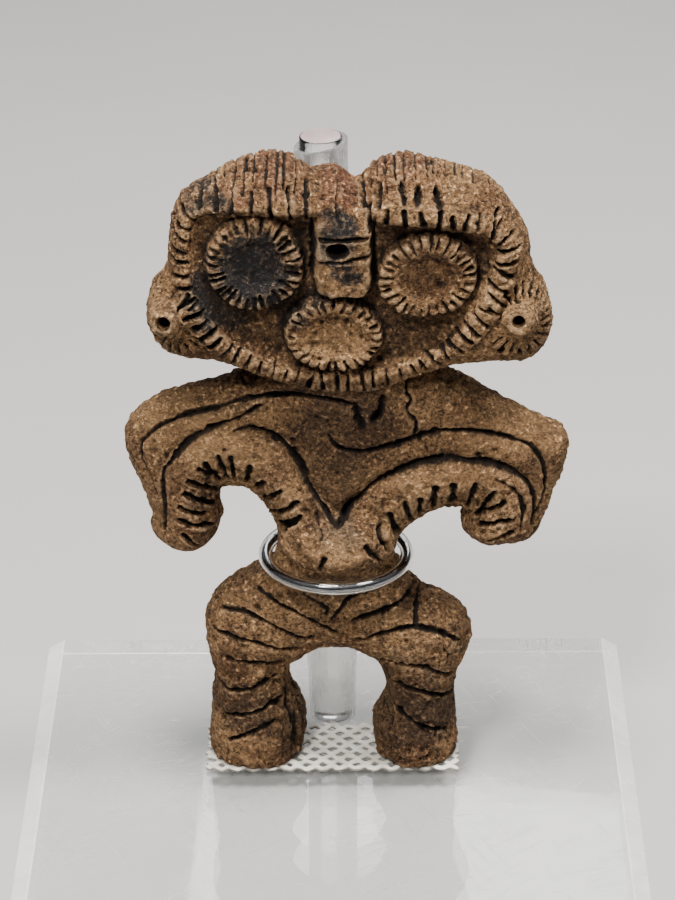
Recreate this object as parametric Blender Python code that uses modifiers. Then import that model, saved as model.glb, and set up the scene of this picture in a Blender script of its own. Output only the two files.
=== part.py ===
"""A fired clay dogu figurine on a small grip mat, steadied by a clear acrylic stand with a waist ring.

The figure is one solid. Its carving is given in figure units: 160 of them are its full height, x to the
right as seen from the front, z up from its soles, and its front faces -y.
Everything else is in metres, with the origin under the middle of the base plate and z up.
"""

import math
import random

import bmesh
import bpy
import numpy as np
from mathutils import Matrix, Vector

# Driving sizes, in metres
FIGURE_HEIGHT = 0.160
FIGURE_X = 0.0
FIGURE_Y = 0.021

PLATE_WIDTH = 0.150
PLATE_DEPTH = 0.150
PLATE_THICKNESS = 0.010
PLATE_BEVEL_WIDTH = 0.0041
PLATE_BEVEL_DROP = 0.0025

MAT_WIDTH = 0.063
MAT_DEPTH = 0.0205
MAT_THICKNESS = 0.0012
MAT_X = 0.0004
MAT_FRONT_Y = 0.0112
MAT_SCALLOP = 0.0006
MAT_SCALLOPS_WIDE = 15
MAT_SCALLOPS_DEEP = 5
MAT_SCALLOP_POINTS = 3

POST_DIAMETER = 0.010
POST_HEIGHT = 0.158
POST_X = 0.0003
POST_Y = 0.0385
POST_LEAN_DEG = 0.6

SLEEVE_WALL = 0.00105
SLEEVE_FOOT_WALL = 0.0005
SLEEVE_TAPER_HEIGHT = 0.020
SLEEVE_BELOW_POST_TOP = 0.0004
SLEEVE_CUT_SLANT = 0.0025

RING_HALF_WIDTH = 0.0170
RING_HALF_DEPTH = 0.01475
RING_WIRE = 0.0019
RING_X = 0.0016
RING_Y = 0.0161
RING_ABOVE_PLATE = 0.0596
RING_TILT_DEG = 4.0
RING_STEM_BITE = 0.0030
RING_SLEEVE_WALL = 0.0004
RING_SLEEVE_OPEN_DEG = 80.0

REST_GAP = 0.0003
FIT_GAP = 0.0003

# Facets
ROUND_SIDES = 32
RING_STEPS = 34
RING_SLEEVE_STEPS = 22
WIRE_SIDES = 8
FIGURE_TRIANGLES = 7200

# The figure's blocks, in figure units
UNITS_HIGH = 160.0
ROUGH_VOXEL = 1.0
CARVE_VOXEL = 0.55
BLEND_PASSES = 6

# Tablet of the head with its two crest lobes and the ear lobes, as (x, z) round its outline
HEAD_OUTLINE = [
    (-11, 104.6), (-19.5, 107.2), (-27.4, 109.4), (-35.4, 110.9), (-40.4, 115.2), (-41.9, 121.8),
    (-40.2, 128.2), (-36.8, 132.9), (-36.3, 140.3), (-33.5, 150.2), (-26.7, 154.2), (-20.1, 158),
    (-13.3, 160), (-7.6, 159.5), (-3.4, 156.3), (2.8, 156.9), (7.2, 153.2), (10.3, 157.5),
    (17.3, 159.6), (27.1, 157.4), (36.2, 154), (42.3, 148), (46.2, 140.3), (47.3, 132.9),
    (50.5, 127.3), (52.2, 118.4), (49.4, 111.2), (43.6, 108.7), (34.4, 108.8), (25, 107), (15, 104.2),
    (3, 102.8),
]
HEAD_FRONT = 11.5
HEAD_BACK = 10.5
HEAD_EDGE = 9.5
HEAD_Y = -1.0

# Chest, shoulders and the two arms that bow down to blunt hands
TORSO_OUTLINE = [
    (-18.8, 106.4), (-24.5, 103.3), (-32.2, 101.2), (-38.9, 99), (-44, 95.6), (-47.6, 91.2),
    (-48, 85), (-45.8, 78.7), (-43.4, 72.1), (-42.2, 67.9), (-42.9, 64), (-40.6, 60.2), (-36.4, 57.6),
    (-31.6, 57.6), (-27.5, 61.6), (-25.1, 66.6), (-25.7, 71.3), (-25.3, 75), (-21.5, 75.3),
    (-17.4, 72.6), (-14.3, 67.5), (-12.5, 60.7), (-13.2, 49.7), (1.4, 45.5), (15.2, 49.6),
    (15.7, 57.9), (18.3, 63.1), (22.6, 66.8), (28.1, 68.9), (32.2, 68.9), (31.2, 65.4), (32.3, 62),
    (36.1, 59.7), (41.6, 59), (47, 59.8), (50.4, 63.2), (52.6, 69.8), (55.2, 77.6), (56.8, 85.3),
    (55.6, 89.6), (51, 92.1), (44, 95.6), (36.9, 99.8), (29.7, 104.3), (21.5, 108), (-9.5, 108.5),
]
TORSO_FRONT = 8.2
TORSO_BACK = 7.4
TORSO_EDGE = 8.0
TORSO_Y = -0.5

# Hips and the two bowed legs; it runs below the soles, where it is cut off flat
LEGS_OUTLINE = [
    (-10.9, 56), (-17.6, 52.6), (-23.6, 48.8), (-28.1, 44.4), (-30.5, 38.3), (-30.3, 31.5),
    (-29.1, 24.8), (-29.1, 15.4), (-30.1, 7.1), (-30, -0.2), (-25.6, -7.5), (-17.5, -9.1),
    (-10.3, -6), (-7.1, 1.8), (-6.2, 8.5), (-7, 14.2), (-9.5, 19.7), (-9.6, 23.8), (-6.5, 27.8),
    (-2, 30.3), (2.7, 30.4), (7.8, 28.5), (11.7, 24.2), (13.4, 18.7), (12, 14.5), (10.1, 10),
    (10.1, 4.8), (11.7, -2), (15.8, -7.2), (22.5, -8.8), (28.6, -5.7), (31, 1), (31, 8.8),
    (30.5, 16.1), (31.3, 23.4), (33.8, 30.1), (34.3, 35.6), (32, 40.6), (27.3, 43.9), (22, 46),
    (18.8, 49.8), (14, 55.8),
]
LEGS_FRONT = 10.5
LEGS_BACK = 9.5
LEGS_EDGE = 10.5
LEGS_Y = 0.0

# Rounded masses worked into the slabs: centre and half-sizes
MASSES = {
    "belly": ((2.1, -8.0, 63.6), (14.2, 8.0, 8.6)),
    "neck": ((3.6, -0.6, 102.6), (20.0, 10.2, 12.5)),
    "seat": ((1.4, 1.5, 43.3), (22.0, 8.8, 9.5)),
    "left_foot": ((-18.6, -0.8, 4.0), (11.0, 9.6, 8.0)),
    "right_foot": ((20.5, -0.4, 4.0), (10.2, 9.6, 8.0)),
    "nape": ((4.6, 2.5, 133.5), (27.0, 7.8, 15.0)),
}

# The waist is pressed thinner and forward, so that the stand's ring passes round it
WAIST_Z = 58.2
WAIST_REACH = 5.2
WAIST_Y = -3.8
WAIST_PRESS = 0.37

# Ear spools: foot of the cone, direction, length, radius at foot and tip, radius and depth of the hole
EAR_SPOOLS = {
    "left": ((-34.6, -5.0, 122.9), (-0.22, -0.96, 0.15), 12.4, 6.6, 3.0, 1.5, 3.8),
    "right": ((44.7, -5.0, 122.8), (-0.09, -0.98, 0.17), 12.2, 6.3, 3.0, 1.3, 3.8),
}
SPOOL_SIDES = 28
# Notches round the ear lobes: centre, inner and outer radius, first and last angle, how many
LOBE_NOTCHES = (
    ((-35.6, 122.8), 5.6, 8.6, 200.0, 330.0, 9),
    ((-35.6, 123.4), 5.4, 8.0, 20.0, 60.0, 3),
    ((44.6, 122.6), 5.4, 8.6, -140.0, 150.0, 19),
)

# Crest line of the rim round the face
FACE_RIM = [
    (-31.5, 150.4), (-33.6, 144.5), (-33.7, 136.8), (-32.2, 129.4), (-28.8, 122.5), (-24.4, 117),
    (-17.8, 112.4), (-9.7, 109.2), (-0.5, 107.3), (10, 107.4), (19.4, 110), (27.4, 114.8),
    (33.8, 121.6), (38.3, 129), (41.2, 136.3), (41.4, 142.3), (37.4, 146.4), (30, 148.4), (21.5, 149.3),
    (13, 150.2), (4, 151.8), (-7, 152.2), (-20, 152.6),
]
RIM_OPEN_UNTIL = 17
RIM_HALF_WIDTH = 3.0
RIM_RAISE = 1.6
DISH_DEPTH = 2.6
RIM_NOTCHES = 43

# Upright notches along the brow: x, lowest and highest z
BROW_NOTCHES = [
    (-28.5, 150.8, 154), (-25, 151, 155), (-21.3, 149.6, 155), (-16.8, 150.4, 154.8),
    (-12.5, 148.6, 155.2), (-8.1, 148.2, 155.4), (-4.3, 148.6, 155.4), (8.2, 151.4, 156),
    (11.8, 151.6, 155.8), (17.3, 152.4, 156.2), (20.9, 152.4, 155.3), (25.3, 151.8, 155),
    (9.8, 146, 151.6), (13.6, 147.4, 151), (17.8, 146, 151), (21.7, 147, 150.4), (25.6, 145.4, 150.4),
    (28.7, 146, 149.4), (31.7, 146.2, 149.5), (34.6, 146.6, 149.5), (38.3, 143.8, 148.9),
]

# Applied discs: centre, half-sizes, tilt in degrees, inner share that is hollowed, raise
DISCS = {
    "left_eye": ((-16.3, 137.4), (11.0, 11.2), 0.0, 0.60, 3.4),
    "right_eye": ((23.0, 134.2), (11.3, 9.9), 14.0, 0.60, 3.4),
    "mouth": ((1.5, 119.7), (11.2, 9.0), -6.0, 0.66, 3.6),
}
DISC_RIM = 0.9
DISC_HOLLOW = 0.9
DISC_NOTCHES = {"left_eye": 32, "right_eye": 29, "mouth": 27}

NOSE_CENTRE = (3.9, 139.6)
NOSE_HALVES = (6.5, 10.6)
NOSE_RAISE = 4.8
NOSE_HOLE = ((2.6, 141.3), (2.6, 2.1), 3.4)
NOSE_LINES = [
    ([(-2.4, 144.6), (3, 144), (9.4, 144.6)], 1.1, 1.3),
    ([(-2.2, 139), (3, 138.6), (10, 140)], 1.0, 1.1),
    ([(-3.2, 149), (-3, 143), (-3.2, 134)], 1.3, 1.4),
    ([(10.9, 149), (10.6, 142), (10.8, 134)], 1.3, 1.4),
    ([(3.2, 156.5), (2.6, 152), (3.4, 147.5)], 1.1, 1.1),
]

# Coil along the lower edge of the arms, from hand to hand through the belly
ARM_COIL = [
    (-34.6, 64.5), (-35.8, 74.5), (-34.2, 81.4), (-30.3, 86.4), (-24.5, 89), (-18.8, 88), (-13.9, 84.2),
    (-10.4, 79), (-6.6, 73), (-1.4, 67.4), (3.2, 65.8), (9, 68.9), (15.6, 74.2), (22, 78.4),
    (28.5, 80.6), (35, 80.3), (40.4, 77.6), (42.6, 73), (42, 68), (38.4, 65),
]
COIL_HALF_WIDTH = 5.6
COIL_RAISE = 1.7

# Notches across the lower half of the coil
ARM_NOTCHES = (
    ([(-34.5, 61.5), (-34.5, 65.8), (-34.4, 72), (-32.9, 78.6), (-29.7, 83.5), (-25.7, 85.3),
      (-21.8, 84.7), (-18.2, 83), (-14.7, 79.3), (-11.9, 75.6), (-9.1, 71), (-7.3, 68.1)], 17, 2.1),
    ([(9.7, 63.4), (13, 66.1), (15.6, 69.9), (18.4, 72.5), (21.7, 74.3), (25.3, 77), (29.8, 77.8),
      (34.3, 77.4), (38.6, 76.1), (40.7, 73.6), (41.2, 70.3), (38.7, 66.9)], 14, 2.3),
)

# Incised lines, each with its points (x, z), width and depth
BODY_LINES = [
    ([(-44.3, 87), (-44.2, 89.4), (-41.7, 92.4), (-38, 95), (-32.2, 97.4), (-25.7, 99), (-20, 101),
      (-14.3, 102.1), (-9.3, 102.6), (-2.2, 102.3), (4.2, 101), (7.4, 99.3), (7.8, 94.8)], 1.2, 1.3),
    ([(13.1, 102.4), (12.7, 98.4), (10.6, 95.6)], 1.3, 1.2),
    ([(-39.5, 64.5), (-39, 74.2), (-39, 81.6), (-36.8, 85.7), (-32.4, 91), (-26.6, 94.2), (-20.1, 96.9),
      (-15.8, 99.7)], 1.2, 1.3),
    ([(-22, 93.3), (-17.3, 93.9), (-13, 92.1), (-9.5, 88.8), (-6.4, 83.9), (-4.3, 78.2), (-1.1, 73.2),
      (2.2, 71.1), (6.2, 74.4), (11.2, 79.3), (17.7, 82.9), (24.9, 85.4), (32.1, 85.5), (38.5, 84.3),
      (43.6, 82), (47.6, 77.9), (49, 72.9), (48.4, 66.3)], 1.3, 1.6),
    ([(0.2, 91.6), (1.9, 88.7), (6.2, 87.3), (11.3, 87.9), (17, 89.5), (22.7, 91.9), (29.1, 92.8),
      (37, 92.2), (44.2, 90.1), (48.5, 87.7), (51.1, 81.9), (51.4, 76.2), (49.6, 69.9)], 1.2, 1.4),
    ([(39.3, 80.8), (43.7, 77.9), (45.9, 72.9), (45.3, 66.3)], 1.0, 0.9),
    ([(-44.4, 87), (-44, 84.5), (-42, 80.4), (-40.8, 76)], 1.0, 0.9),
    ([(18.7, 104.7), (18.4, 99.9), (20.5, 93.5), (23.1, 88.6)], 0.7, 0.6),
]
LEG_LINES = [
    ([(-6.4, 49.5), (-0.9, 45.7), (-0.9, 44.1)], 1.1, 1.1),
    ([(12.4, 51.5), (4.5, 48.4), (3.2, 46), (0.4, 42.6)], 1.1, 1.1),
    ([(-17.4, 49.8), (-6.5, 43.6), (1.8, 38.3)], 1.0, 1.1),
    ([(5.4, 42.2), (14.6, 45.4), (20.6, 47.5)], 1.1, 1.2),
    ([(-26.3, 43.8), (-18.9, 43.9), (-8, 37.5), (-3.8, 37.1)], 1.1, 1.2),
    ([(7.2, 36.2), (13.3, 38.7), (20.2, 40), (27.1, 38.1), (31.7, 34.5)], 1.2, 1.4),
    ([(-28.9, 38.1), (-20.9, 37), (-13.6, 34.5), (-7.1, 33.4)], 1.1, 1.2),
    ([(12.3, 30), (21.6, 29.2), (24.9, 27.8), (30.6, 23.9)], 1.2, 1.3),
    ([(-26.9, 30.8), (-20.1, 30.6), (-10.8, 29.3)], 1.0, 1.1),
    ([(14.8, 22.6), (22.5, 21.7), (30.4, 17.6)], 1.1, 1.2),
    ([(-28.6, 23.2), (-24, 21.8), (-12.7, 25.3)], 1.1, 1.1),
    ([(-26, 14.1), (-18, 16.5), (-11.8, 18.9)], 1.2, 1.2),
    ([(15, 16.6), (21.6, 12.3), (28.5, 9)], 1.1, 1.2),
    ([(-25.3, 7.4), (-13.6, 13.4)], 1.1, 1.1),
    ([(20.7, 51.2), (22.2, 47.3), (28.8, 44.3)], 1.1, 1.1),
]
# Plainer lines on the back: a yoke over the shoulders and short strokes across the seat and legs
BACK_LINES = [
    ([(-42.5, 85.3), (-30.1, 92.6), (-11.6, 96.7), (3.8, 90.3), (19.2, 96.5), (37.7, 92.2),
      (49.9, 84.8)], 1.2, 1.2),
    ([(-38.4, 76.9), (-26.1, 85.2), (-7.6, 85.1), (3.7, 76.7), (15, 85), (33.5, 84.9), (46.8, 76.4)], 1.2, 1.2),
    ([(-20.1, 49.6), (-7.9, 44.3), (2.3, 39.1), (12.6, 44.2), (25, 48.3)], 1.2, 1.2),
    ([(-27.4, 39.2), (-14.1, 36), (-3.8, 34.9)], 1.1, 1.1),
    ([(31, 36.8), (18.7, 35.9), (8.4, 34.9)], 1.1, 1.1),
    ([(-27.5, 23.6), (-11.1, 25.6)], 1.1, 1.1),
    ([(29.8, 21.2), (15.5, 24.4)], 1.1, 1.1),
    ([(-21.7, 123), (-13.5, 114.5), (3.9, 111.3), (21.4, 114.3), (31.8, 122.7)], 1.2, 1.2),
]

CLAY = ((0.30, 0.165, 0.085, 1.0), 0.92, 0.0)
ACRYLIC = ((0.93, 0.96, 0.96, 1.0), 0.05, 0.0)
VINYL = ((0.90, 0.93, 0.93, 1.0), 0.15, 0.0)
STEEL = ((0.62, 0.63, 0.64, 1.0), 0.12, 1.0)
KNIT = ((0.80, 0.79, 0.74, 1.0), 0.85, 0.0)

FIGURE_SCALE = FIGURE_HEIGHT / UNITS_HIGH
FIGURE_BASE_Z = PLATE_THICKNESS + REST_GAP + MAT_THICKNESS + REST_GAP
POST_BASE_Z = PLATE_THICKNESS + REST_GAP
POST_RADIUS = POST_DIAMETER / 2
SLEEVE_BORE_RADIUS = POST_RADIUS + FIT_GAP
RING_Z = PLATE_THICKNESS + RING_ABOVE_PLATE


def clear_scene():
    """Removes what the file holds before the model is made."""
    for obj in list(bpy.data.objects):
        bpy.data.objects.remove(obj)


def new_collection(name):
    """A collection linked to the scene."""
    made = bpy.data.collections.new(name)
    bpy.context.scene.collection.children.link(made)
    return made


def new_material(name, look):
    """A Principled material from (base colour, roughness, metallic)."""
    colour, roughness, metallic = look
    made = bpy.data.materials.new(name)
    made.use_nodes = True
    shader = made.node_tree.nodes["Principled BSDF"]
    shader.inputs["Base Color"].default_value = colour
    shader.inputs["Roughness"].default_value = roughness
    shader.inputs["Metallic"].default_value = metallic
    return made


def mesh_object(name, mesh, collection, material=None):
    """A mesh as an object in a collection."""
    obj = bpy.data.objects.new(name, mesh)
    collection.objects.link(obj)
    if material is not None:
        mesh.materials.append(material)
    return obj


def baked(obj, name):
    """The object's evaluated shape as a mesh of its own, in world space, with loose caps welded."""
    bpy.context.view_layer.update()
    graph = bpy.context.evaluated_depsgraph_get()
    mesh = bpy.data.meshes.new_from_object(obj.evaluated_get(graph))
    mesh.name = name
    mesh.transform(obj.matrix_world)
    shape = bmesh.new()
    shape.from_mesh(mesh)
    bmesh.ops.remove_doubles(shape, verts=shape.verts, dist=1e-6)
    bmesh.ops.recalc_face_normals(shape, faces=shape.faces)
    shape.to_mesh(mesh)
    shape.free()
    return mesh


def replaced_by_mesh(obj):
    """The object turned into a plain mesh object with the same name."""
    name = obj.name
    collection = obj.users_collection[0]
    mesh = baked(obj, name)
    bpy.data.objects.remove(obj)
    return mesh_object(name, mesh, collection)


def points_of(mesh):
    """The mesh's vertices as an array."""
    flat = np.empty(len(mesh.vertices) * 3)
    mesh.vertices.foreach_get("co", flat)
    return flat.reshape(-1, 3)


def normals_of(mesh):
    """The mesh's vertex normals as an array."""
    flat = np.empty(len(mesh.vertices) * 3)
    mesh.vertex_normals.foreach_get("vector", flat)
    return flat.reshape(-1, 3)


def set_points(mesh, points):
    """Moves the mesh's vertices."""
    mesh.vertices.foreach_set("co", points.astype(np.float32).ravel())
    mesh.update()


def smooth_line(points, closed, steps=6):
    """A Catmull-Rom curve through the points, as an array."""
    knots = np.array(points, float)
    count = len(knots)
    spans = count if closed else count - 1
    found = []
    for i in range(spans):
        ahead = [i - 1, i, i + 1, i + 2]
        if closed:
            p0, p1, p2, p3 = (knots[k % count] for k in ahead)
        else:
            p0, p1, p2, p3 = (knots[min(max(k, 0), count - 1)] for k in ahead)
        for t in np.arange(steps) / steps:
            found.append(
                0.5 * (2 * p1 + (p2 - p0) * t + (2 * p0 - 5 * p1 + 4 * p2 - p3) * t**2
                       + (3 * p1 - p0 - 3 * p2 + p3) * t**3)
            )
    if not closed:
        found.append(knots[-1])
    return np.array(found)


def spans_of(line, closed):
    """The line's segments as (start, end) pairs."""
    ends = np.roll(line, -1, axis=0) if closed else line[1:]
    return list(zip(line[: len(ends)], ends))


def distance_to(places, line, closed):
    """Distance of each (x, z) place to the line."""
    nearest = np.full(len(places), np.inf)
    for a, b in spans_of(line, closed):
        along = b - a
        t = np.clip(((places - a) @ along) / max(along @ along, 1e-12), 0, 1)
        gap = places - a - t[:, None] * along
        nearest = np.minimum(nearest, np.einsum("ij,ij->i", gap, gap))
    return np.sqrt(nearest)


def inside(places, line):
    """Whether each (x, z) place lies within the closed line."""
    crossed = np.zeros(len(places), bool)
    x, z = places[:, 0], places[:, 1]
    for a, b in spans_of(line, True):
        if a[1] == b[1]:
            continue
        spans = (a[1] > z) != (b[1] > z)
        at = a[0] + (z - a[1]) * (b[0] - a[0]) / (b[1] - a[1])
        crossed ^= spans & (x < at)
    return crossed


def eased(value, low, high):
    """0 below low, 1 above high, and a smooth step between."""
    t = np.clip((value - low) / (high - low), 0, 1)
    return t * t * (3 - 2 * t)


def remeshed(obj, voxel, smoothing=0):
    """The object's closed shells made one, with an even mesh, and smoothed."""
    remesh = obj.modifiers.new("even_mesh", "REMESH")
    remesh.mode = "VOXEL"
    remesh.voxel_size = voxel
    if smoothing:
        smooth = obj.modifiers.new("blend", "SMOOTH")
        smooth.factor = 0.5
        smooth.iterations = smoothing
    return replaced_by_mesh(obj)


def outline_slab(name, outline, front, back, edge, middle_y, workshop):
    """A slab with the outline's shape, thinned to nothing at its edge as a hand rounds it over."""
    line = smooth_line(outline, True)
    curve = bpy.data.curves.new(name, "CURVE")
    curve.dimensions = "2D"
    curve.fill_mode = "BOTH"
    curve.extrude = (front + back) / 2
    spline = curve.splines.new("POLY")
    spline.points.add(len(line) - 1)
    for point, (x, z) in zip(spline.points, line):
        point.co = (x, z, 0, 1)
    spline.use_cyclic_u = True
    obj = bpy.data.objects.new(name, curve)
    workshop.objects.link(obj)
    obj.rotation_euler = (math.radians(90), 0, 0)
    obj = remeshed(replaced_by_mesh(obj), ROUGH_VOXEL)
    points = points_of(obj.data)
    depth = distance_to(points[:, [0, 2]], line, True)
    share = np.clip(depth / edge, 0, 1)
    rounded = np.sqrt(1 - (1 - share) ** 2)
    side = points[:, 1] / ((front + back) / 2)
    reach = np.where(side < 0, front, back)
    points[:, 1] = middle_y + side * reach * rounded
    set_points(obj.data, points)
    return obj


def ellipsoid(name, centre, halves, workshop):
    """A rounded mass."""
    mesh = bpy.data.meshes.new(name)
    shape = bmesh.new()
    bmesh.ops.create_uvsphere(shape, u_segments=32, v_segments=20, radius=1.0)
    shape.to_mesh(mesh)
    shape.free()
    mesh.transform(Matrix.Translation(centre) @ Matrix.Diagonal((*halves, 1)))
    return mesh_object(name, mesh, workshop)


def cone(name, foot, direction, length, foot_radius, tip_radius, sides, collection):
    """A closed cone or cylinder from its foot along a direction."""
    mesh = bpy.data.meshes.new(name)
    shape = bmesh.new()
    bmesh.ops.create_cone(
        shape, cap_ends=True, segments=sides, radius1=foot_radius, radius2=tip_radius, depth=length
    )
    shape.to_mesh(mesh)
    shape.free()
    turn = Vector(direction).to_track_quat("Z", "Y").to_matrix().to_4x4()
    mesh.transform(Matrix.Translation(foot) @ turn @ Matrix.Translation((0, 0, length / 2)))
    return mesh_object(name, mesh, collection)


def joined(objects, name):
    """Several closed shells in one object."""
    shape = bmesh.new()
    for obj in objects:
        shape.from_mesh(obj.data)
    collection = objects[0].users_collection[0]
    mesh = bpy.data.meshes.new(name)
    shape.to_mesh(mesh)
    shape.free()
    for obj in objects:
        bpy.data.objects.remove(obj)
    return mesh_object(name, mesh, collection)


def stroke(points, pressed, a, b, width, depth, facing, soft=0.0):
    """Presses a rounded groove from a to b, keeping the deepest press at each point."""
    a, b = np.array(a, float), np.array(b, float)
    middle, reach = (a + b) / 2, np.linalg.norm(b - a) / 2 + max(width, 3.0 if soft else 0.0)
    beside = (np.abs(points[:, 0] - middle[0]) < reach) & (np.abs(points[:, 2] - middle[1]) < reach)
    near = np.flatnonzero(beside & (facing > 0))
    if len(near) == 0:
        return
    places = points[near][:, [0, 2]]
    along = b - a
    t = np.clip(((places - a) @ along) / max(along @ along, 1e-12), 0, 1)
    gap = np.linalg.norm(places - a - t[:, None] * along, axis=1)
    groove = depth * eased(-gap, -0.8 * width, -0.1 * width)
    shoulder = soft * depth * eased(-gap, -3.0, 0.0)
    pressed[near] = np.maximum(pressed[near], (groove + shoulder) * facing[near])


def press_lines(points, pressed, lines, facing, soft=0.0):
    """Presses every incised line of a list."""
    for places, width, depth in lines:
        line = smooth_line(places, False, 4)
        for a, b in spans_of(line, False):
            stroke(points, pressed, a, b, width, depth, facing, soft)


def even_places(line, count):
    """Points and directions spaced evenly along an open line."""
    steps = np.linalg.norm(np.diff(line, axis=0), axis=1)
    run = np.concatenate([[0], np.cumsum(steps)])
    for s in (np.arange(count) + 0.5) / count * run[-1]:
        k = min(int(np.searchsorted(run, s, "right")) - 1, len(steps) - 1)
        direction = (line[k + 1] - line[k]) / max(steps[k], 1e-9)
        yield line[k] + direction * (s - run[k]), direction


def ellipse_share(places, centre, halves, tilt_deg=0.0, power=2.0):
    """How far out each place is on a tilted ellipse: 0 at its centre, 1 at its edge."""
    turn = math.radians(tilt_deg)
    x, z = places[:, 0] - centre[0], places[:, 1] - centre[1]
    along = np.abs(x * math.cos(turn) + z * math.sin(turn)) / halves[0]
    across = np.abs(-x * math.sin(turn) + z * math.cos(turn)) / halves[1]
    return (along**power + across**power) ** (1 / power)


def face_relief(places):
    """How far the face's rim, discs and nose stand out of the head, or the dish lies in it."""
    rim = smooth_line(FACE_RIM, True)
    gap = distance_to(places, rim, True)
    within = inside(places, rim)
    raised = RIM_RAISE * np.sqrt(np.clip(1 - (gap / RIM_HALF_WIDTH) ** 2, 0, 1))
    sunk = DISH_DEPTH * eased(np.where(within, gap, 0), RIM_HALF_WIDTH * 0.4, RIM_HALF_WIDTH * 2.0)
    relief = raised - sunk
    for centre, halves, tilt, hollow, lift in DISCS.values():
        out = ellipse_share(places, centre, halves, tilt)
        ring = DISC_RIM * np.clip(1 - ((out - (1 + hollow) / 2) / ((1 - hollow) / 2 + 0.1)) ** 2, 0, 1)
        bowl = DISC_HOLLOW * eased(-out, -hollow, -hollow * 0.6)
        disc = lift - DISH_DEPTH + ring - bowl
        relief = relief + (np.maximum(disc, relief - 0.6) - relief) * eased(-out, -1.06, -0.95)
    nose = eased(-ellipse_share(places, NOSE_CENTRE, NOSE_HALVES, 0.0, 5.0), -1.08, -0.88)
    return relief + (np.maximum(NOSE_RAISE - DISH_DEPTH, relief) - relief) * nose


def coil_relief(places):
    """How far the coil along the arms stands out."""
    gap = distance_to(places, smooth_line(ARM_COIL, False), False)
    return COIL_RAISE * np.sqrt(np.clip(1 - (gap / COIL_HALF_WIDTH) ** 2, 0, 1))


def press_disc_notches(points, pressed, facing, rng):
    """Presses the notches round each applied disc."""
    for name, (centre, halves, tilt, hollow, _) in DISCS.items():
        count = DISC_NOTCHES[name]
        turn = math.radians(tilt)
        for i in range(count):
            angle = 2 * math.pi * (i + rng.uniform(-0.2, 0.2)) / count
            along = halves[0] * math.cos(angle)
            across = halves[1] * math.sin(angle)
            out = np.array([
                along * math.cos(turn) - across * math.sin(turn),
                along * math.sin(turn) + across * math.cos(turn),
            ])
            start = np.array(centre) + out * (hollow + rng.uniform(0.0, 0.08))
            end = np.array(centre) + out * rng.uniform(0.94, 1.0)
            stroke(points, pressed, start, end, 0.8, rng.uniform(0.8, 1.2), facing)


def press_cross_notches(points, pressed, line, count, half, width, facing, rng):
    """Presses notches across an open line."""
    for place, direction in even_places(line, count):
        across = np.array([-direction[1], direction[0]])
        lean = direction * rng.uniform(-0.3, 0.3)
        reach = (across + lean) * half * rng.uniform(0.75, 1.1)
        middle = place + direction * rng.uniform(-0.3, 0.3)
        stroke(points, pressed, middle - reach, middle + reach, width, rng.uniform(1.0, 1.5), facing)


def press_crest(points, pressed, facing):
    """Presses the combed strokes over both lobes of the crest."""
    for first, last, count, low in ((-30.0, -7.0, 11, 156.2), (9.5, 40.0, 15, 157.0)):
        for i, x in enumerate(np.linspace(first, last, count)):
            start = low - 0.012 * (x - (first + last) / 2) ** 2 + 0.5 * math.sin(2.3 * i)
            stroke(points, pressed, (x, start), (x * 0.97, start + 9.0), 1.0, 1.0, facing)


def press_lobes(points, pressed, facing, rng):
    """Presses the notches that stand round each ear spool."""
    for centre, near, far, first, last, count in LOBE_NOTCHES:
        for angle in np.radians(np.linspace(first, last, count)):
            out = np.array([math.cos(angle), math.sin(angle)])
            start = np.array(centre) + out * near
            stroke(points, pressed, start, np.array(centre) + out * far, 0.9, rng.uniform(0.8, 1.2), facing)


def pinched(points):
    """The points with the waist pressed thinner and forward."""
    share = WAIST_PRESS * np.exp(-(((points[:, 2] - WAIST_Z) / WAIST_REACH) ** 2))
    belly = eased(-points[:, 1], 6.5, 8.5)
    moved = points.copy()
    moved[:, 1] += (WAIST_Y - points[:, 1]) * share * (1 - belly)
    return moved


def drilled(points):
    """The points with the tip of each ear spool pushed in to make its hole."""
    moved = points.copy()
    for foot, direction, length, _, _, hole, depth in EAR_SPOOLS.values():
        aim = np.array(Vector(direction).normalized())
        offset = points - np.array(foot)
        along = offset @ aim
        aside = np.linalg.norm(offset - along[:, None] * aim, axis=1)
        share = eased(-aside, -1.25 * hole, -0.7 * hole) * eased(along, length - 4.5, length - 2.5)
        moved -= aim * (depth * share)[:, None]
    return moved


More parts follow.
